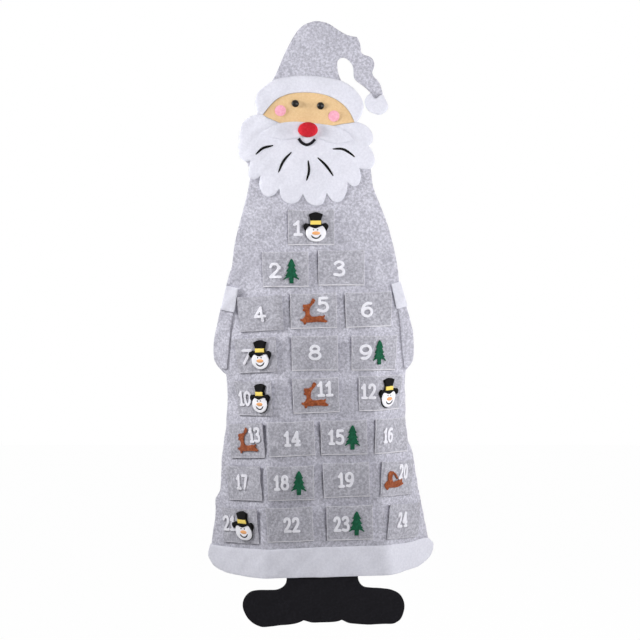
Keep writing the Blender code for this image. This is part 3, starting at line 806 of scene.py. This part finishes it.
strands_px = [[(255.9, 154.9), (262.8, 148.8), (273.2, 145.7)],
              [(278.5, 172.7), (283.4, 161.5), (291.5, 152.3)],
              [(308.2, 160.7), (309, 171.4), (306.5, 180.9)],
              [(317.6, 157.7), (326.3, 166.1), (333.2, 176)],
              [(332.6, 149.2), (342.4, 149.2), (348.5, 152.3), (354.6, 157.2)]]
strand_half_width = 2.1 * MM
strand_height = 0.7 * MM
strand_play = 0.1 * MM
strand_lines = [smooth_run([pattern_point(*point) for point in run], 1.5 * MM)
                for run in strands_px]
strands = strip("beard_strands", strand_lines, strand_half_width, second_layer + strand_play,
                strand_height, taper=True)
dress(strands, hat_rubber)
print("strands:", len(strand_lines))

# %% [markdown]
# ## The pouches
#
# Each pouch is a panel of felt that stands off the robe, with a narrow strip, the gusset,
# that joins its two sides and its foot to the robe. The panel is a grid that is fine at
# its edges, where the felt is rounded and the thread pulls it in. It leans out from its
# foot to its mouth and sags there. Felt pouches that have been opened and closed a few
# times don't stand alike, so each has its own fullness. Their felt is painted a little
# darker than the robe's, a painted shade for the light that falls off over them. Their
# cut edges are painted paler, a painted highlight where the edges catch the light, and
# the mesh carries a mask of them for the material; on some pouches that highlight is dimmer.

# %% Shape of a pouch
pocket_width = 76 * MM
pocket_height = 58 * MM
pocket_depth = 7.5 * MM
pocket_felt_thickness = 2 * MM
panel_rounding = 0.6 * MM
seam_margin = 2.2 * MM
seam_pull = 0.3 * MM
seam_reach = 0.9 * MM
gusset_inset = 3 * MM
gusset_thickness = 1.5 * MM
gusset_drop = 1.5 * MM
gusset_bite = 0.2 * MM
# Pouches whose painted highlight on the cut edges is dimmer, and by how much.
dim_highlight_pouches = (4, 7, 10, 13, 17, 20, 21, 24)
dim_highlight_share = 0.3
# Where each pouch's foot has its middle, and its tilt in degrees.
pocket_places_px = {
    1: (311.4, 245.2, 0.4), 2: (285.4, 287, 0.2), 3: (341.5, 285.5, 0.4),
    4: (260.8, 331, 3), 5: (314, 328.4, 1.4), 6: (369, 327, 2),
    7: (257, 372.8, 3.5), 8: (315, 370.6, 0.7), 9: (374.5, 370.4, 0),
    10: (252.8, 416.4, 2.3), 11: (316.6, 412.9, 2.2), 12: (382, 410.6, 0.9),
    13: (243.8, 459.8, 4.5), 14: (292.3, 456, 2.6), 15: (344.2, 454.6, 1.2),
    16: (393.8, 453.9, -0.7),
    17: (240.8, 503, 4), 18: (291.4, 500.2, 1.3), 19: (347, 497, 2), 20: (399.4, 497.2, -2),
    21: (236, 546.4, 3.5), 22: (290.8, 541.4, 2.6), 23: (350.2, 539.6, 1.5), 24: (407.3, 541, -3.5)}
# How full a pouch hangs, how far its foot stands off, and how far its outer top corner is
# drawn in, where that isn't the usual amount.
pocket_fullness = {1: 0.5, 2: 0.5, 3: 0.5, 4: 0.55, 5: 0.55, 6: 0.6, 7: 0.7, 8: 0.8, 9: 0.8,
                   10: 0.6, 11: 0.85, 12: 0.7, 13: 0.5, 16: 0.8, 17: 0.5, 20: 0.8, 21: 0.5,
                   24: 0.75}
foot_share = {13: 0.2, 17: 0.15, 21: 0.15}
usual_foot_share = 0.12
pocket_trim = {16: 7 * MM}
glued_height = 14 * MM
panel_height = 8 * MM

# The lines of a panel's mesh, from a side, from its foot and down from its mouth.
side_lines = np.array([0, 0.25, 0.6, 1.2, 1.8, 2.4, 2.9, 3.4, 3.9, 4.5, 5.1, 5.8, 6.8, 8.5, 11,
                       14]) * MM
middle_lines = np.linspace(-20, 20, 11) * MM
foot_lines = np.array([0, 0.25, 0.6, 1.2, 1.8, 2.4, 3.2, 4, 5, 6, 7, 8, 9.2, 11, 14]) * MM
belly_lines = np.linspace(18, 49, 8) * MM
mouth_lines = np.array([5, 2.5, 1.2, 0.6, 0.25, 0]) * MM


def soft_step(value, low, high):
    """A smooth step from 0 at low to 1 at high."""
    share = np.clip((value - low) / (high - low), 0, 1)
    return share * share * (3 - 2 * share)


def split_squares(corner, width):
    """Two triangles for each square of a grid that is that many points wide."""
    return np.concatenate([np.stack([corner, corner + 1, corner + width + 1], axis=-1),
                           np.stack([corner, corner + width + 1, corner + width], axis=-1)])


class Pouch:
    """A pocket's place on the robe, and the height of its felt."""

    def __init__(self, number):
        self.number = number
        foot_x, foot_y, tilt = pocket_places_px[number]
        self.foot = pattern_point(foot_x, foot_y)
        self.drape = drape_from(self.foot[0], panel_height)
        turn = math.radians(tilt)
        self.right = np.array([math.cos(turn), math.sin(turn)])
        self.up = np.array([-math.sin(turn), math.cos(turn)])
        chance = np.random.default_rng(100 + number)
        self.depth = pocket_depth * pocket_fullness.get(number, 1)
        self.foot_share = foot_share.get(number, usual_foot_share)
        self.trim = pocket_trim.get(number, 0)
        self.slump = chance.uniform(-0.4, 0.4)
        self.lean = chance.uniform(-0.12, 0.12)

    def spot(self, x, y):
        """Flat places of points x right of and y above the middle of the foot."""
        drawn_in = soft_step(y, 0.3 * pocket_height, pocket_height) * self.trim
        x = x - drawn_in * np.clip(2 * x / pocket_width, 0, 1)
        return (self.foot[0] + self.right[0] * x + self.up[0] * y,
                self.foot[1] + self.right[1] * x + self.up[1] * y)

    def local(self, u, w):
        """How far right of and above the middle of the foot flat places lie."""
        du, dw = u - self.foot[0], w - self.foot[1]
        return du * self.right[0] + dw * self.right[1], du * self.up[0] + dw * self.up[1]

    def height(self, x, y):
        """Height of the panel's front, without the pull of its seam."""
        upward = np.clip(y / pocket_height, 0, 1)
        across = x / pocket_width
        belly = 1 + 0.06 * (np.cos(math.pi * across) - 1) * upward
        uneven = self.lean * across * 0.4 + 0.03 * self.slump * np.sin(5 * across)
        rise = (self.foot_share + (1 - self.foot_share) * upward ** 0.8) * (belly + uneven)
        return first_layer + pocket_felt_thickness + self.depth * rise

    def pulled(self, x, y):
        """Height of the panel's front, which the thread pulls in along its sides and foot."""
        edge = np.minimum(pocket_width / 2 - np.abs(x), y)
        return self.height(x, y) - seam_pull * np.exp(-((edge - seam_margin) / seam_reach) ** 2)

    def front(self, u, w):
        """Height of the panel's front at a flat place."""
        return self.pulled(*self.local(u, w))

    def mount(self, u, w):
        """Height at a flat place where something is glued on the panel's front."""
        return self.height(*self.local(u, w)) + layer_play

    def mesh(self):
        """The pouch's felt, as a grid that is fine along its edges."""
        xs = np.concatenate([side_lines - pocket_width / 2, middle_lines,
                             pocket_width / 2 - side_lines[::-1]])
        ys = np.concatenate([foot_lines, belly_lines, pocket_height - mouth_lines])
        x, y = [grid.ravel() for grid in np.meshgrid(xs, ys)]
        corner = (np.arange(len(ys) - 1)[:, None] * len(xs) + np.arange(len(xs) - 1)).ravel()
        side, foot, mouth = pocket_width / 2 - np.abs(x), y, pocket_height - y
        droop = rounded_edge(np.minimum(np.minimum(side, foot), mouth), panel_rounding)
        high = self.pulled(x, y)
        low = high - pocket_felt_thickness + droop * back_rounding_share
        sag = soft_step(y, 0.6 * pocket_height, pocket_height) * np.cos(math.pi * x / pocket_width)
        flat = np.stack(self.spot(x, y - (1.1 + self.slump) * MM * sag), axis=-1)
        panel = close_sheet("pouch_%02d" % self.number, flat, split_squares(corner, len(xs)), low,
                            high - droop, self.drape)
        # The mask of the painted highlight: full along the foot, weaker along the sides and the mouth.
        shine = 1 - soft_step(foot, 1 * MM, 2 * MM)
        shine = np.maximum(shine, 0.6 * (1 - soft_step(side, 0.6 * MM, 1.4 * MM)))
        shine = np.maximum(shine, 0.4 * (1 - soft_step(mouth, 0.4 * MM, 1.2 * MM)))
        shine *= dim_highlight_share if self.number in dim_highlight_pouches else 1
        mask = panel.data.attributes.new(painted_edge_highlight, "FLOAT", "POINT")
        mask.data.foreach_set("value", np.concatenate([shine, 0 * shine]))
        return panel

    def gusset(self):
        """The strip of felt that joins the panel's sides and foot to the robe."""
        def run(inset):
            side, head = pocket_width / 2 - inset, pocket_height - gusset_drop
            corners = np.array([(-side, head), (-side, inset), (side, inset), (side, head)])
            return np.concatenate([a + (b - a) * np.linspace(0, 1, 15)[:, None]
                                   for a, b in zip(corners, corners[1:])])
        outer, inner = run(gusset_inset), run(gusset_inset + gusset_thickness)
        points = np.concatenate([outer, inner])
        faces = split_squares(np.arange(len(outer) - 1), len(outer))
        told_apart = points.round(9)
        faces = faces[[len(set(map(tuple, told_apart[face]))) == 3 for face in faces]]
        flat = np.stack(self.spot(*points.T), axis=-1)
        high = self.front(*flat.T) - pocket_felt_thickness + gusset_bite
        return close_sheet("pouch_%02d_gusset" % self.number, flat, faces,
                           np.full(len(points), first_layer), high, self.drape)


pouches = {number: Pouch(number) for number in pocket_places_px}
for number, pouch in pouches.items():
    panel = dress(pouch.mesh(), pocket_felt_painted_shade, node="pocket_%02d" % number)
    gusset = dress(pouch.gusset(), sleeve_felt)
print("pouches sewn:", len(pouches))

# %% [markdown]
# ## Seams
#
# A running stitch holds each pouch along its two sides and its foot. Each stitch is a
# short thread that sinks into the felt at both ends, so a row of them reads as a seam.

# %% Stitches
stitch_length = 2.6 * MM
stitch_pitch = 4.1 * MM
stitch_half_width = 0.35 * MM
stitch_height = 0.28 * MM


def stitches_along(start, end):
    """Short lines, one for each stitch between two points."""
    start, end = np.array(start), np.array(end)
    reach = np.linalg.norm(end - start)
    count = max(1, int(reach / stitch_pitch))
    starts = (np.arange(count) + 0.5) / count * reach - stitch_length / 2
    run = (end - start) / reach
    return [start + run * (first + stitch_length * np.linspace(0, 1, 5))[:, None]
            for first in starts]


for number, pouch in pouches.items():
    side, head = pocket_width / 2 - seam_margin, pocket_height - seam_margin
    corners = ((-side, head), (-side, seam_margin), (side, seam_margin), (side, head))
    seam = [pouch.spot(*corner) for corner in corners]
    lines = [line for start, end in zip(seam, seam[1:]) for line in stitches_along(start, end)]
    thread = strip("pouch_%02d_seam" % number, lines, stitch_half_width, pouch.front,
                   stitch_height, place=pouch.drape, sides=4)
    dress(thread, grey_thread)
print("stitches in a pouch:", len(lines))

# %% [markdown]
# ## Numerals
#
# The numbers are die-cut from white felt, each in one piece, glued on. Blender's own text
# would give a printed look, so each figure is drawn as the path of a rounded tool: lines
# of one width that are joined where they cross.

# %% Draw the figures
figure_paths = {
    "0": [[(0.5, 1), (0.15, 0.85), (0, 0.5), (0.15, 0.15), (0.5, 0), (0.85, 0.15), (1, 0.5),
           (0.85, 0.85), (0.5, 1)]],
    "1": [[(0.05, 0.76), (0.3, 0.84), (0.55, 1)], [(0.55, 1), (0.55, 0)], [(0.1, 0), (1, 0)]],
    "2": [[(0.03, 0.78), (0.16, 0.94), (0.46, 1), (0.78, 0.93), (0.9, 0.73), (0.76, 0.5),
           (0.4, 0.24), (0.04, 0)],
          [(0.04, 0), (1, 0)]],
    "3": [[(0.04, 0.87), (0.26, 0.99), (0.74, 0.99), (0.93, 0.83), (0.74, 0.62), (0.42, 0.54)],
          [(0.42, 0.54), (0.82, 0.47), (1, 0.26), (0.84, 0.05), (0.42, 0), (0, 0.06)]],
    "4": [[(0.72, 1), (0, 0.3)], [(0, 0.3), (1, 0.3)], [(0.72, 1), (0.72, 0)], [(0.45, 0), (1, 0)]],
    "lone 4": [[(0.6, 1), (0, 0.32)], [(0, 0.3), (1, 0.34)], [(0.6, 1), (0.74, 0)]],
    "5": [[(0.92, 1), (0.2, 1)], [(0.2, 1), (0.13, 0.57)],
          [(0.13, 0.57), (0.45, 0.64), (0.82, 0.56), (0.98, 0.32), (0.84, 0.08), (0.46, 0),
           (0, 0.1)]],
    "6": [[(0.9, 0.96), (0.55, 0.98), (0.2, 0.8), (0.02, 0.45), (0.12, 0.12), (0.5, 0),
           (0.88, 0.1), (1, 0.32),
           (0.86, 0.54), (0.5, 0.61), (0.16, 0.5), (0.03, 0.33)]],
    "7": [[(0, 1), (1, 1)], [(1, 1), (0.62, 0.55), (0.4, 0)]],
    "lone 7": [[(0, 1), (1, 1)], [(1, 1), (0.5, 0.5), (-0.1, 0)]],
    "8": [[(0.5, 0.55), (0.2, 0.62), (0.1, 0.78), (0.25, 0.95), (0.5, 1), (0.75, 0.95),
           (0.9, 0.78), (0.8, 0.62),
           (0.5, 0.55)],
          [(0.5, 0.55), (0.14, 0.46), (0, 0.27), (0.15, 0.07), (0.5, 0), (0.85, 0.07), (1, 0.27),
           (0.86, 0.46),
           (0.5, 0.55)]],
    "9": [[(0.1, 0.04), (0.45, 0.02), (0.8, 0.2), (0.98, 0.55), (0.88, 0.88), (0.5, 1),
           (0.12, 0.9), (0, 0.68),
           (0.14, 0.46), (0.5, 0.39), (0.84, 0.5), (0.97, 0.67)]]}
numeral_height = 26 * MM
numeral_stroke = 4.7 * MM
numeral_thickness = 1.7 * MM
numeral_rounding = 0.45 * MM
numeral_margin = 0.5 * MM
numeral_back_share = 0.4
numeral_join_mm = 1e-3
narrow_one = 0.7
# Where each number has its middle, and its width.
numeral_places_px = {
    1: (297.9, 228.4, 10.4), 2: (275.7, 270.6, 12.4), 3: (339.1, 268.7, 12), 4: (260.8, 314.2, 12.8),
    5: (322.9, 304.7, 12.3), 6: (367, 309.6, 13.1), 7: (246.8, 357.2, 11.6), 8: (314.9, 352.4, 13),
    9: (365.7, 352, 13), 10: (241.2, 399.5, 17.4), 11: (324.9, 388.6, 16.6), 12: (368.7, 391.1, 16.5),
    13: (254.3, 435.8, 15.2), 14: (292.1, 438.3, 16.9), 15: (336.1, 436.8, 16.6), 16: (385.3, 435.5, 15.2),
    17: (237.2, 484.5, 16.2), 18: (281.4, 482.1, 15.8), 19: (345.7, 479.2, 16.6), 20: (406.2, 473.3, 14.8),
    21: (221, 527.6, 17), 22: (291.8, 523.9, 17), 23: (341.3, 523.3, 16.5), 24: (404.4, 521.6, 15)}


def numeral_paths(number, width):
    """The tool's paths for a number, around its middle."""
    figures = str(number)
    shares = [narrow_one if figure == "1" else 1 for figure in figures]
    paths = []
    left = -width / 2 + numeral_stroke / 2
    room = width - numeral_stroke * len(figures)
    tall = numeral_height - numeral_stroke
    for figure, share in zip(figures, shares):
        wide = room * share / sum(shares)
        for path in figure_paths["lone " + figure if number in (4, 7) else figure]:
            paths.append([(left + x * wide, (y - 0.5) * tall) for x, y in path])
        left += wide + numeral_stroke
    return paths


def path_distance(points, lines):
    """How far each point lies from the nearest line."""
    nearest = np.full(len(points), far_away)
    for line in lines:
        for a, b in zip(line, line[1:]):
            run = b - a
            share = np.clip(((points - a) @ run) / max(run @ run, no_area), 0, 1)
            away = np.linalg.norm(points - a - share[:, None] * run, axis=1)
            nearest = np.minimum(nearest, away)
    return nearest


def tool_outline(line, radius):
    """The outline that a round tool leaves along an open line."""
    along = unit(np.gradient(line, axis=0)) * radius
    across = quarter_turn(along)
    turns = np.linspace(0, math.pi, 7)[1:-1]
    cap_end = [line[-1] + across[-1] * math.cos(turn) + along[-1] * math.sin(turn)
               for turn in turns]
    cap_start = [line[0] - across[0] * math.cos(turn) - along[0] * math.sin(turn)
                 for turn in turns]
    return np.concatenate([line + across, cap_end, (line - across)[::-1], cap_start])[::-1]


def cut_strokes(name, lines, radius, low, thickness, place, spot):
    """One piece of felt cut along several joined strokes, and laid where spot puts it."""
    points, outlines = [], []
    for inward in (0, numeral_rounding * 0.35, numeral_rounding):
        for line in lines:
            for stroke in zip(line, line[1:]):
                outline = tool_outline(np.array(stroke), radius - inward)
                outlines.append(list(range(len(points), len(points) + len(outline))))
                points += [Vector(point) for point in outline / MM]
    cut = delaunay_2d_cdt(points, [], outlines, 0, numeral_join_mm)
    flat = np.array([vert[:] for vert in cut[0]]) * MM
    faces = np.array([face[:] for face, origin in zip(cut[2], cut[5]) if len(origin)])
    inset = np.clip(radius - path_distance(flat, lines), 0, numeral_rounding)
    droop = rounded_edge(inset, numeral_rounding)
    flat = np.stack(spot(*flat.T), axis=-1)
    base = as_heights(low, flat)
    return close_sheet(name, flat, faces, base + droop * numeral_back_share,
                       base + thickness - droop, place)


for number, (x_px, y_px, width_px) in numeral_places_px.items():
    pouch, middle, width = pouches[number], pattern_point(x_px, y_px), width_px * px
    x, y = pouch.local(*middle)
    room = pocket_width / 2 - numeral_margin - width / 2
    x = min(max(x, -room), room)
    lines = [smooth_run(path, 1.3 * MM) for path in numeral_paths(number, width)]
    numeral = cut_strokes("numeral_%02d" % number, lines, numeral_stroke / 2, pouch.mount,
                          numeral_thickness, drape_from(middle[0], glued_height),
                          lambda across, up: pouch.spot(x + across, y + up))
    dress(numeral, figure_felt)
print("a numeral is %.0f mm tall" % (numeral_height / MM))

# %% [markdown]
# ## Trees and reindeer
#
# These are die-cut from coloured felt and glued on their pouches, whose front they follow.
# A reindeer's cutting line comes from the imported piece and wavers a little, as loose
# fibres make it do. A tree is cut again with deeper branches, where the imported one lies.

# %% Felt ornaments
ornament_thickness = 1.8 * MM
ragged_height = 0.14 * MM
tree_height = 40.5 * MM
tree_side_share = [(0, 0.5), (0.05, 0.45), (0.1, 0.35), (0.13, 0.27), (0.18, 0.195), (0.115, 0.175),
                   (0.17, 0.06), (0.23, -0.01), (0.155, -0.035), (0.21, -0.14), (0.27, -0.19),
                   (0.2, -0.2),
                   (0.31, -0.32), (0.295, -0.355), (0.19, -0.29), (0.09, -0.265), (0.083, -0.5)]


def tree_line(line):
    """A tree's cutting line, with every branch cut deep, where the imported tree's line lies."""
    side = np.array(tree_side_share)
    whole = np.concatenate([side, (side * (-1, 1))[:0:-1]])
    middle = (line.min(axis=0) + line.max(axis=0)) / 2
    return smooth_line(middle + whole * tree_height, fine_step)


def ragged_line(line):
    """A cutting line that wavers, as loose fibres make it do."""
    count = np.arange(len(line))
    wave = np.sin(count * 2.4) + np.sin(count * 0.9 + 1) + np.sin(count * 4.1)
    return line + line_normals(line) * (ragged_height * wave)[:, None]


ornament_looks = {"tree": (tree_line, green_felt), "reindeer": (ragged_line, brown_felt)}
felt_ornaments = sorted(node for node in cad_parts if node.startswith(tuple(ornament_looks)))
for node in felt_ornaments:
    kind, number = node.split("_")
    redraw, finish = ornament_looks[kind]
    line = redraw(cutting_line(node, fine_step))
    ornament = cut_felt("felt_" + node, line, pouches[int(number)].mount, ornament_thickness,
                        2.2 * MM, 0.35 * MM, drape_from(line[:, 0].mean(), glued_height))
    dress(ornament, finish, node=node)
    declare_sheet(line)
print("felt ornaments:", len(felt_ornaments))

# %% [markdown]
# ## Snowmen
#
# A snowman's head in a top hat, moulded in soft rubber in layers: a thick dark plate lies
# under everything, and the face, the crown, the band and the curled brim stand on it.
# Where the cloth leans back, the plate is shifted towards the middle, so that its black
# rim shows on that side of the face: partly the rubber's own edge, partly a painted shadow
# beside the face. Each layer is cut by the same function as the felt, with a crown, so that
# it swells as rubber does.

# %% Snowman layers
def oval(x, y, wide, tall, sides=28):
    """Points of an oval in millimetres."""
    turns = [2 * math.pi * i / sides for i in range(sides)]
    return [(x + wide * math.cos(turn), y + tall * math.sin(turn)) for turn in turns]


# Each layer has its outline or its line in millimetres, how far over the plate it lies, its
# thickness, its crown and its rubber. What is small has a finer mesh: the step of its line,
# the spacing of its points and the radius of its edge.
plate_thickness = 2.6 * MM
usual_mesh = (fine_step, 1.8 * MM, 0.6 * MM)
nose_mesh = (fine_step, 1.2 * MM, 0.6 * MM)
eye_mesh = (0.5 * MM, 0.8 * MM, 0.3 * MM)
smile_half_width = 1.15 * MM
snowman_layers = {
    "crown": ([(-12.2, 20.2), (-6.5, 23), (-0.4, 24), (5, 23.4), (10.6, 21.2), (9.4, 16), (8, 11),
               (8.4, 3), (-9, 3), (-9.4, 11), (-10.8, 16)],
              0, 1.4 * MM, 0.4 * MM, hat_rubber, usual_mesh),
    "face": ([(-11.6, 1.2), (-15, -2), (-16.9, -7.4), (-16.2, -13.5), (-12.6, -19), (-6.6, -22.7),
              (0, -23.8), (6.6, -22.7), (12.6, -19), (16, -13.5), (16.6, -7.4), (14.8, -1.6),
              (11, 2.3), (5, 1), (-5, 1)],
             0, 1 * MM, 0.9 * MM, snow_rubber, usual_mesh),
    "band": ([(-9.4, 10.8), (8.6, 10.8), (8.8, 4), (-9.4, 4)],
             1.2 * MM, 0.9 * MM, 0.3 * MM, band_rubber, usual_mesh),
    "brim": ([(-16.2, 6.1), (-20, 4.8), (-21.6, 1.5), (-20.4, -1.5), (-18.3, -4), (-14.9, 0.2),
              (-12, 1.05), (-3.5, -1.7), (-0.2, -2.1), (4.9, -0.2), (9.1, 1.7), (12, 2.1),
              (14.6, 0.2), (17.3, -4), (20.4, -2), (21.3, 1.05), (19.6, 4.8), (16.7, 6.5),
              (12.5, 5.7), (9.1, 4.4), (0, 3.6), (-10.3, 3.6), (-12.8, 4.8)],
             1.4 * MM, 1.3 * MM, 0.6 * MM, hat_rubber, usual_mesh),
    "nose": (oval(0.2, -9.9, 6.8, 3), 1.5 * MM, 0.8 * MM, 1.2 * MM, carrot_rubber, nose_mesh),
    "smile": ([(-7.9, -13.5), (-4.6, -16.8), (0, -18.2), (5, -16.5), (8.6, -12.4)],
              1.7 * MM, 0.6 * MM, None, hat_rubber, usual_mesh),
    "eye_left": (oval(-3.9, -4.3, 1, 1.2, 12), 1.7 * MM, 0.5 * MM, 0.2 * MM, hat_rubber, eye_mesh),
    "eye_right": (oval(2.8, -4.3, 1, 1.2, 12), 1.7 * MM, 0.5 * MM, 0.2 * MM, hat_rubber, eye_mesh)}
# A snowman's place, its tilt, its width as a share, and its lean where it has one.
snowman_places_px = {1: (316, 227.6, 0, 0.98), 7: (261.7, 355, 1, 0.94),
                     10: (262.2, 398.5, 1, 0.92), 12: (386.8, 392.8, 3, 0.9, -0.14),
                     21: (240.6, 528.4, 1, 1.02, 0.14)}
# How far each plate is shifted, in mm, so that its black rim shows beside the face: the rubber's edge, and
# partly a painted shadow.
rim_and_shadow_shift = {7: 0.4, 10: 1.6, 12: -1.4, 21: 0.7}


class Spot:
    """A small frame on the flat cloth, for a piece's own millimetres."""

    def __init__(self, x_px, y_px, tilt, width=1, lean=0):
        self.middle = np.array(pattern_point(x_px, y_px))
        turn = math.radians(tilt)
        shape = np.array([[width, 0], [-lean, 1]])
        self.axes = shape @ np.array([[math.cos(turn), math.sin(turn)],
                                      [-math.sin(turn), math.cos(turn)]])

    def lay(self, points):
        """Flat places of points in millimetres from the middle."""
        return self.middle + np.array(points, float) * MM @ self.axes


def over(pouch, rise):
    """Heights a little above a pouch's front."""
    return lambda u, w: pouch.mount(u, w) + rise


plate_points = (cutting_line("snowman_01", 1 * MM) - Spot(*snowman_places_px[1]).middle) / MM
for number, place_px in snowman_places_px.items():
    pouch, spot, name = pouches[number], Spot(*place_px), "snowman_%02d" % number
    shift = rim_and_shadow_shift.get(number, 0)
    place = drape_from(spot.middle[0], glued_height)
    plate = cut_felt(name + "_plate", spot.lay(plate_points + (shift, -abs(shift) / 3)),
                     pouch.mount, plate_thickness, 3 * MM, 0.35 * MM, place)
    dress(plate, hat_rubber, name)
    for layer, (points, rise, thickness, crown, rubber, mesh) in snowman_layers.items():
        step, spacing, rounding = mesh
        low = over(pouch, plate_thickness + rise)
        if layer == "smile":
            piece = strip(name + "_smile", [smooth_run(spot.lay(points), step)],
                          smile_half_width, low, thickness, place=place)
        else:
            piece = cut_felt(name + "_" + layer, smooth_line(spot.lay(points), step), low,
                             thickness, spacing, rounding, place, crown)
        dress(piece, rubber)
print("snowmen:", len(snowman_places_px))

# %% [markdown]
# ## Light, floor and camera
#
# Most of the light comes from both sides and only a little in front of the cloth. It
# grazes the felt, so the pouches and the nose cast soft shadows, and the side flaps, which
# turn towards it, come out lighter than the lower middle. One lamp in front and a dim sky
# fill the rest, and one lamp behind shows the plain back. The background is white where
# the camera looks past the calendar, without lighting it.

# %% Light, floor and camera
ambient_strength = 0.12
floor_drop = 350 * MM
floor_reach = 6
floor_seen_share = 0.985


def split_rays(tree, lit, seen, share=1):
    """A shader for light, mixed with what the camera or a reflection sees."""
    rays = add_node(tree, "LightPath").outputs
    direct = math_node(tree, "MAXIMUM", rays["Is Camera Ray"], rays["Is Glossy Ray"])
    direct = math_node(tree, "MAXIMUM", direct, rays["Is Transmission Ray"])
    factor = math_node(tree, "MULTIPLY", direct, share)
    return add_node(tree, "MixShader", {0: factor, 1: lit, 2: seen}).outputs[0]


world = bpy.data.worlds.new("studio")
bpy.context.scene.world = world
world.use_nodes = True
tree = world.node_tree
tree.nodes.clear()
white = (1, 1, 1, 1)
ambient = add_node(tree, "Background", {"Color": white, "Strength": ambient_strength})
backdrop = add_node(tree, "Background", {"Color": white})
sky = split_rays(tree, ambient.outputs[0], backdrop.outputs[0])
add_node(tree, "OutputWorld", {"Surface": sky})

# Each lamp has its place, what it points at, its width and its power.
lamps = {"right": ((2.2, -0.22, -0.2), (0, 0, -0.15), 0.4, 14),
         "right_near": ((0.9, -0.22, -0.2), (0, 0, -0.15), 0.3, 2.5),
         "left": ((-2.2, -0.22, -1.1), (0, 0, -0.4), 0.4, 4),
         "left_near": ((-0.9, -0.22, 0.04), (0, 0, -0.15), 0.3, 10.2),
         "front": ((0.5, -0.9, -0.22), (0, 0, -0.15), 0.5, 6.5),
         "back": ((0.5, 1.8, 0.2), (0, 0, -0.4), 1, 11)}
for name, (place, aim, size, watts) in lamps.items():
    light = bpy.data.lights.new(name, "AREA")
    light.size = size
    light.energy = watts
    lamp = bpy.data.objects.new(name, light)
    lamp.location = place
    lamp.rotation_euler = (Vector(aim) - Vector(place)).to_track_quat("-Z", "Y").to_euler()
    bpy.context.collection.objects.link(lamp)
print("lamps:", len(lamps))

floor_level = cad_box[0][2] - floor_drop
corners = [(x * floor_reach, y * floor_reach, floor_level)
           for x, y in ((-1, -1), (1, -1), (1, 1), (-1, 1))]
floor = new_piece("floor", corners, [(0, 1, 2, 3)])
floor_paint = new_material("floor_paint")
tree = floor_paint.node_tree
shader = tree.nodes["Principled BSDF"]
shader.inputs["Base Color"].default_value = (0.9, 0.9, 0.9, 1)
glow = add_node(tree, "Emission")
surface = split_rays(tree, shader.outputs[0], glow.outputs[0], floor_seen_share)
feed(tree, tree.nodes["Material Output"].inputs["Surface"], surface)
floor.data.materials.append(floor_paint)

camera_data = bpy.data.cameras.new("camera")
camera_data.lens = 64.69
camera_data.sensor_width = 36
camera = bpy.data.objects.new("camera", camera_data)
camera.location = (0.0132, -1.9, -0.429)
camera.rotation_euler = (math.pi / 2, 0, 0)
bpy.context.collection.objects.link(camera)
bpy.context.scene.camera = camera
bpy.context.scene.view_settings.view_transform = "Standard"

print("pieces made:", len(made_pieces))
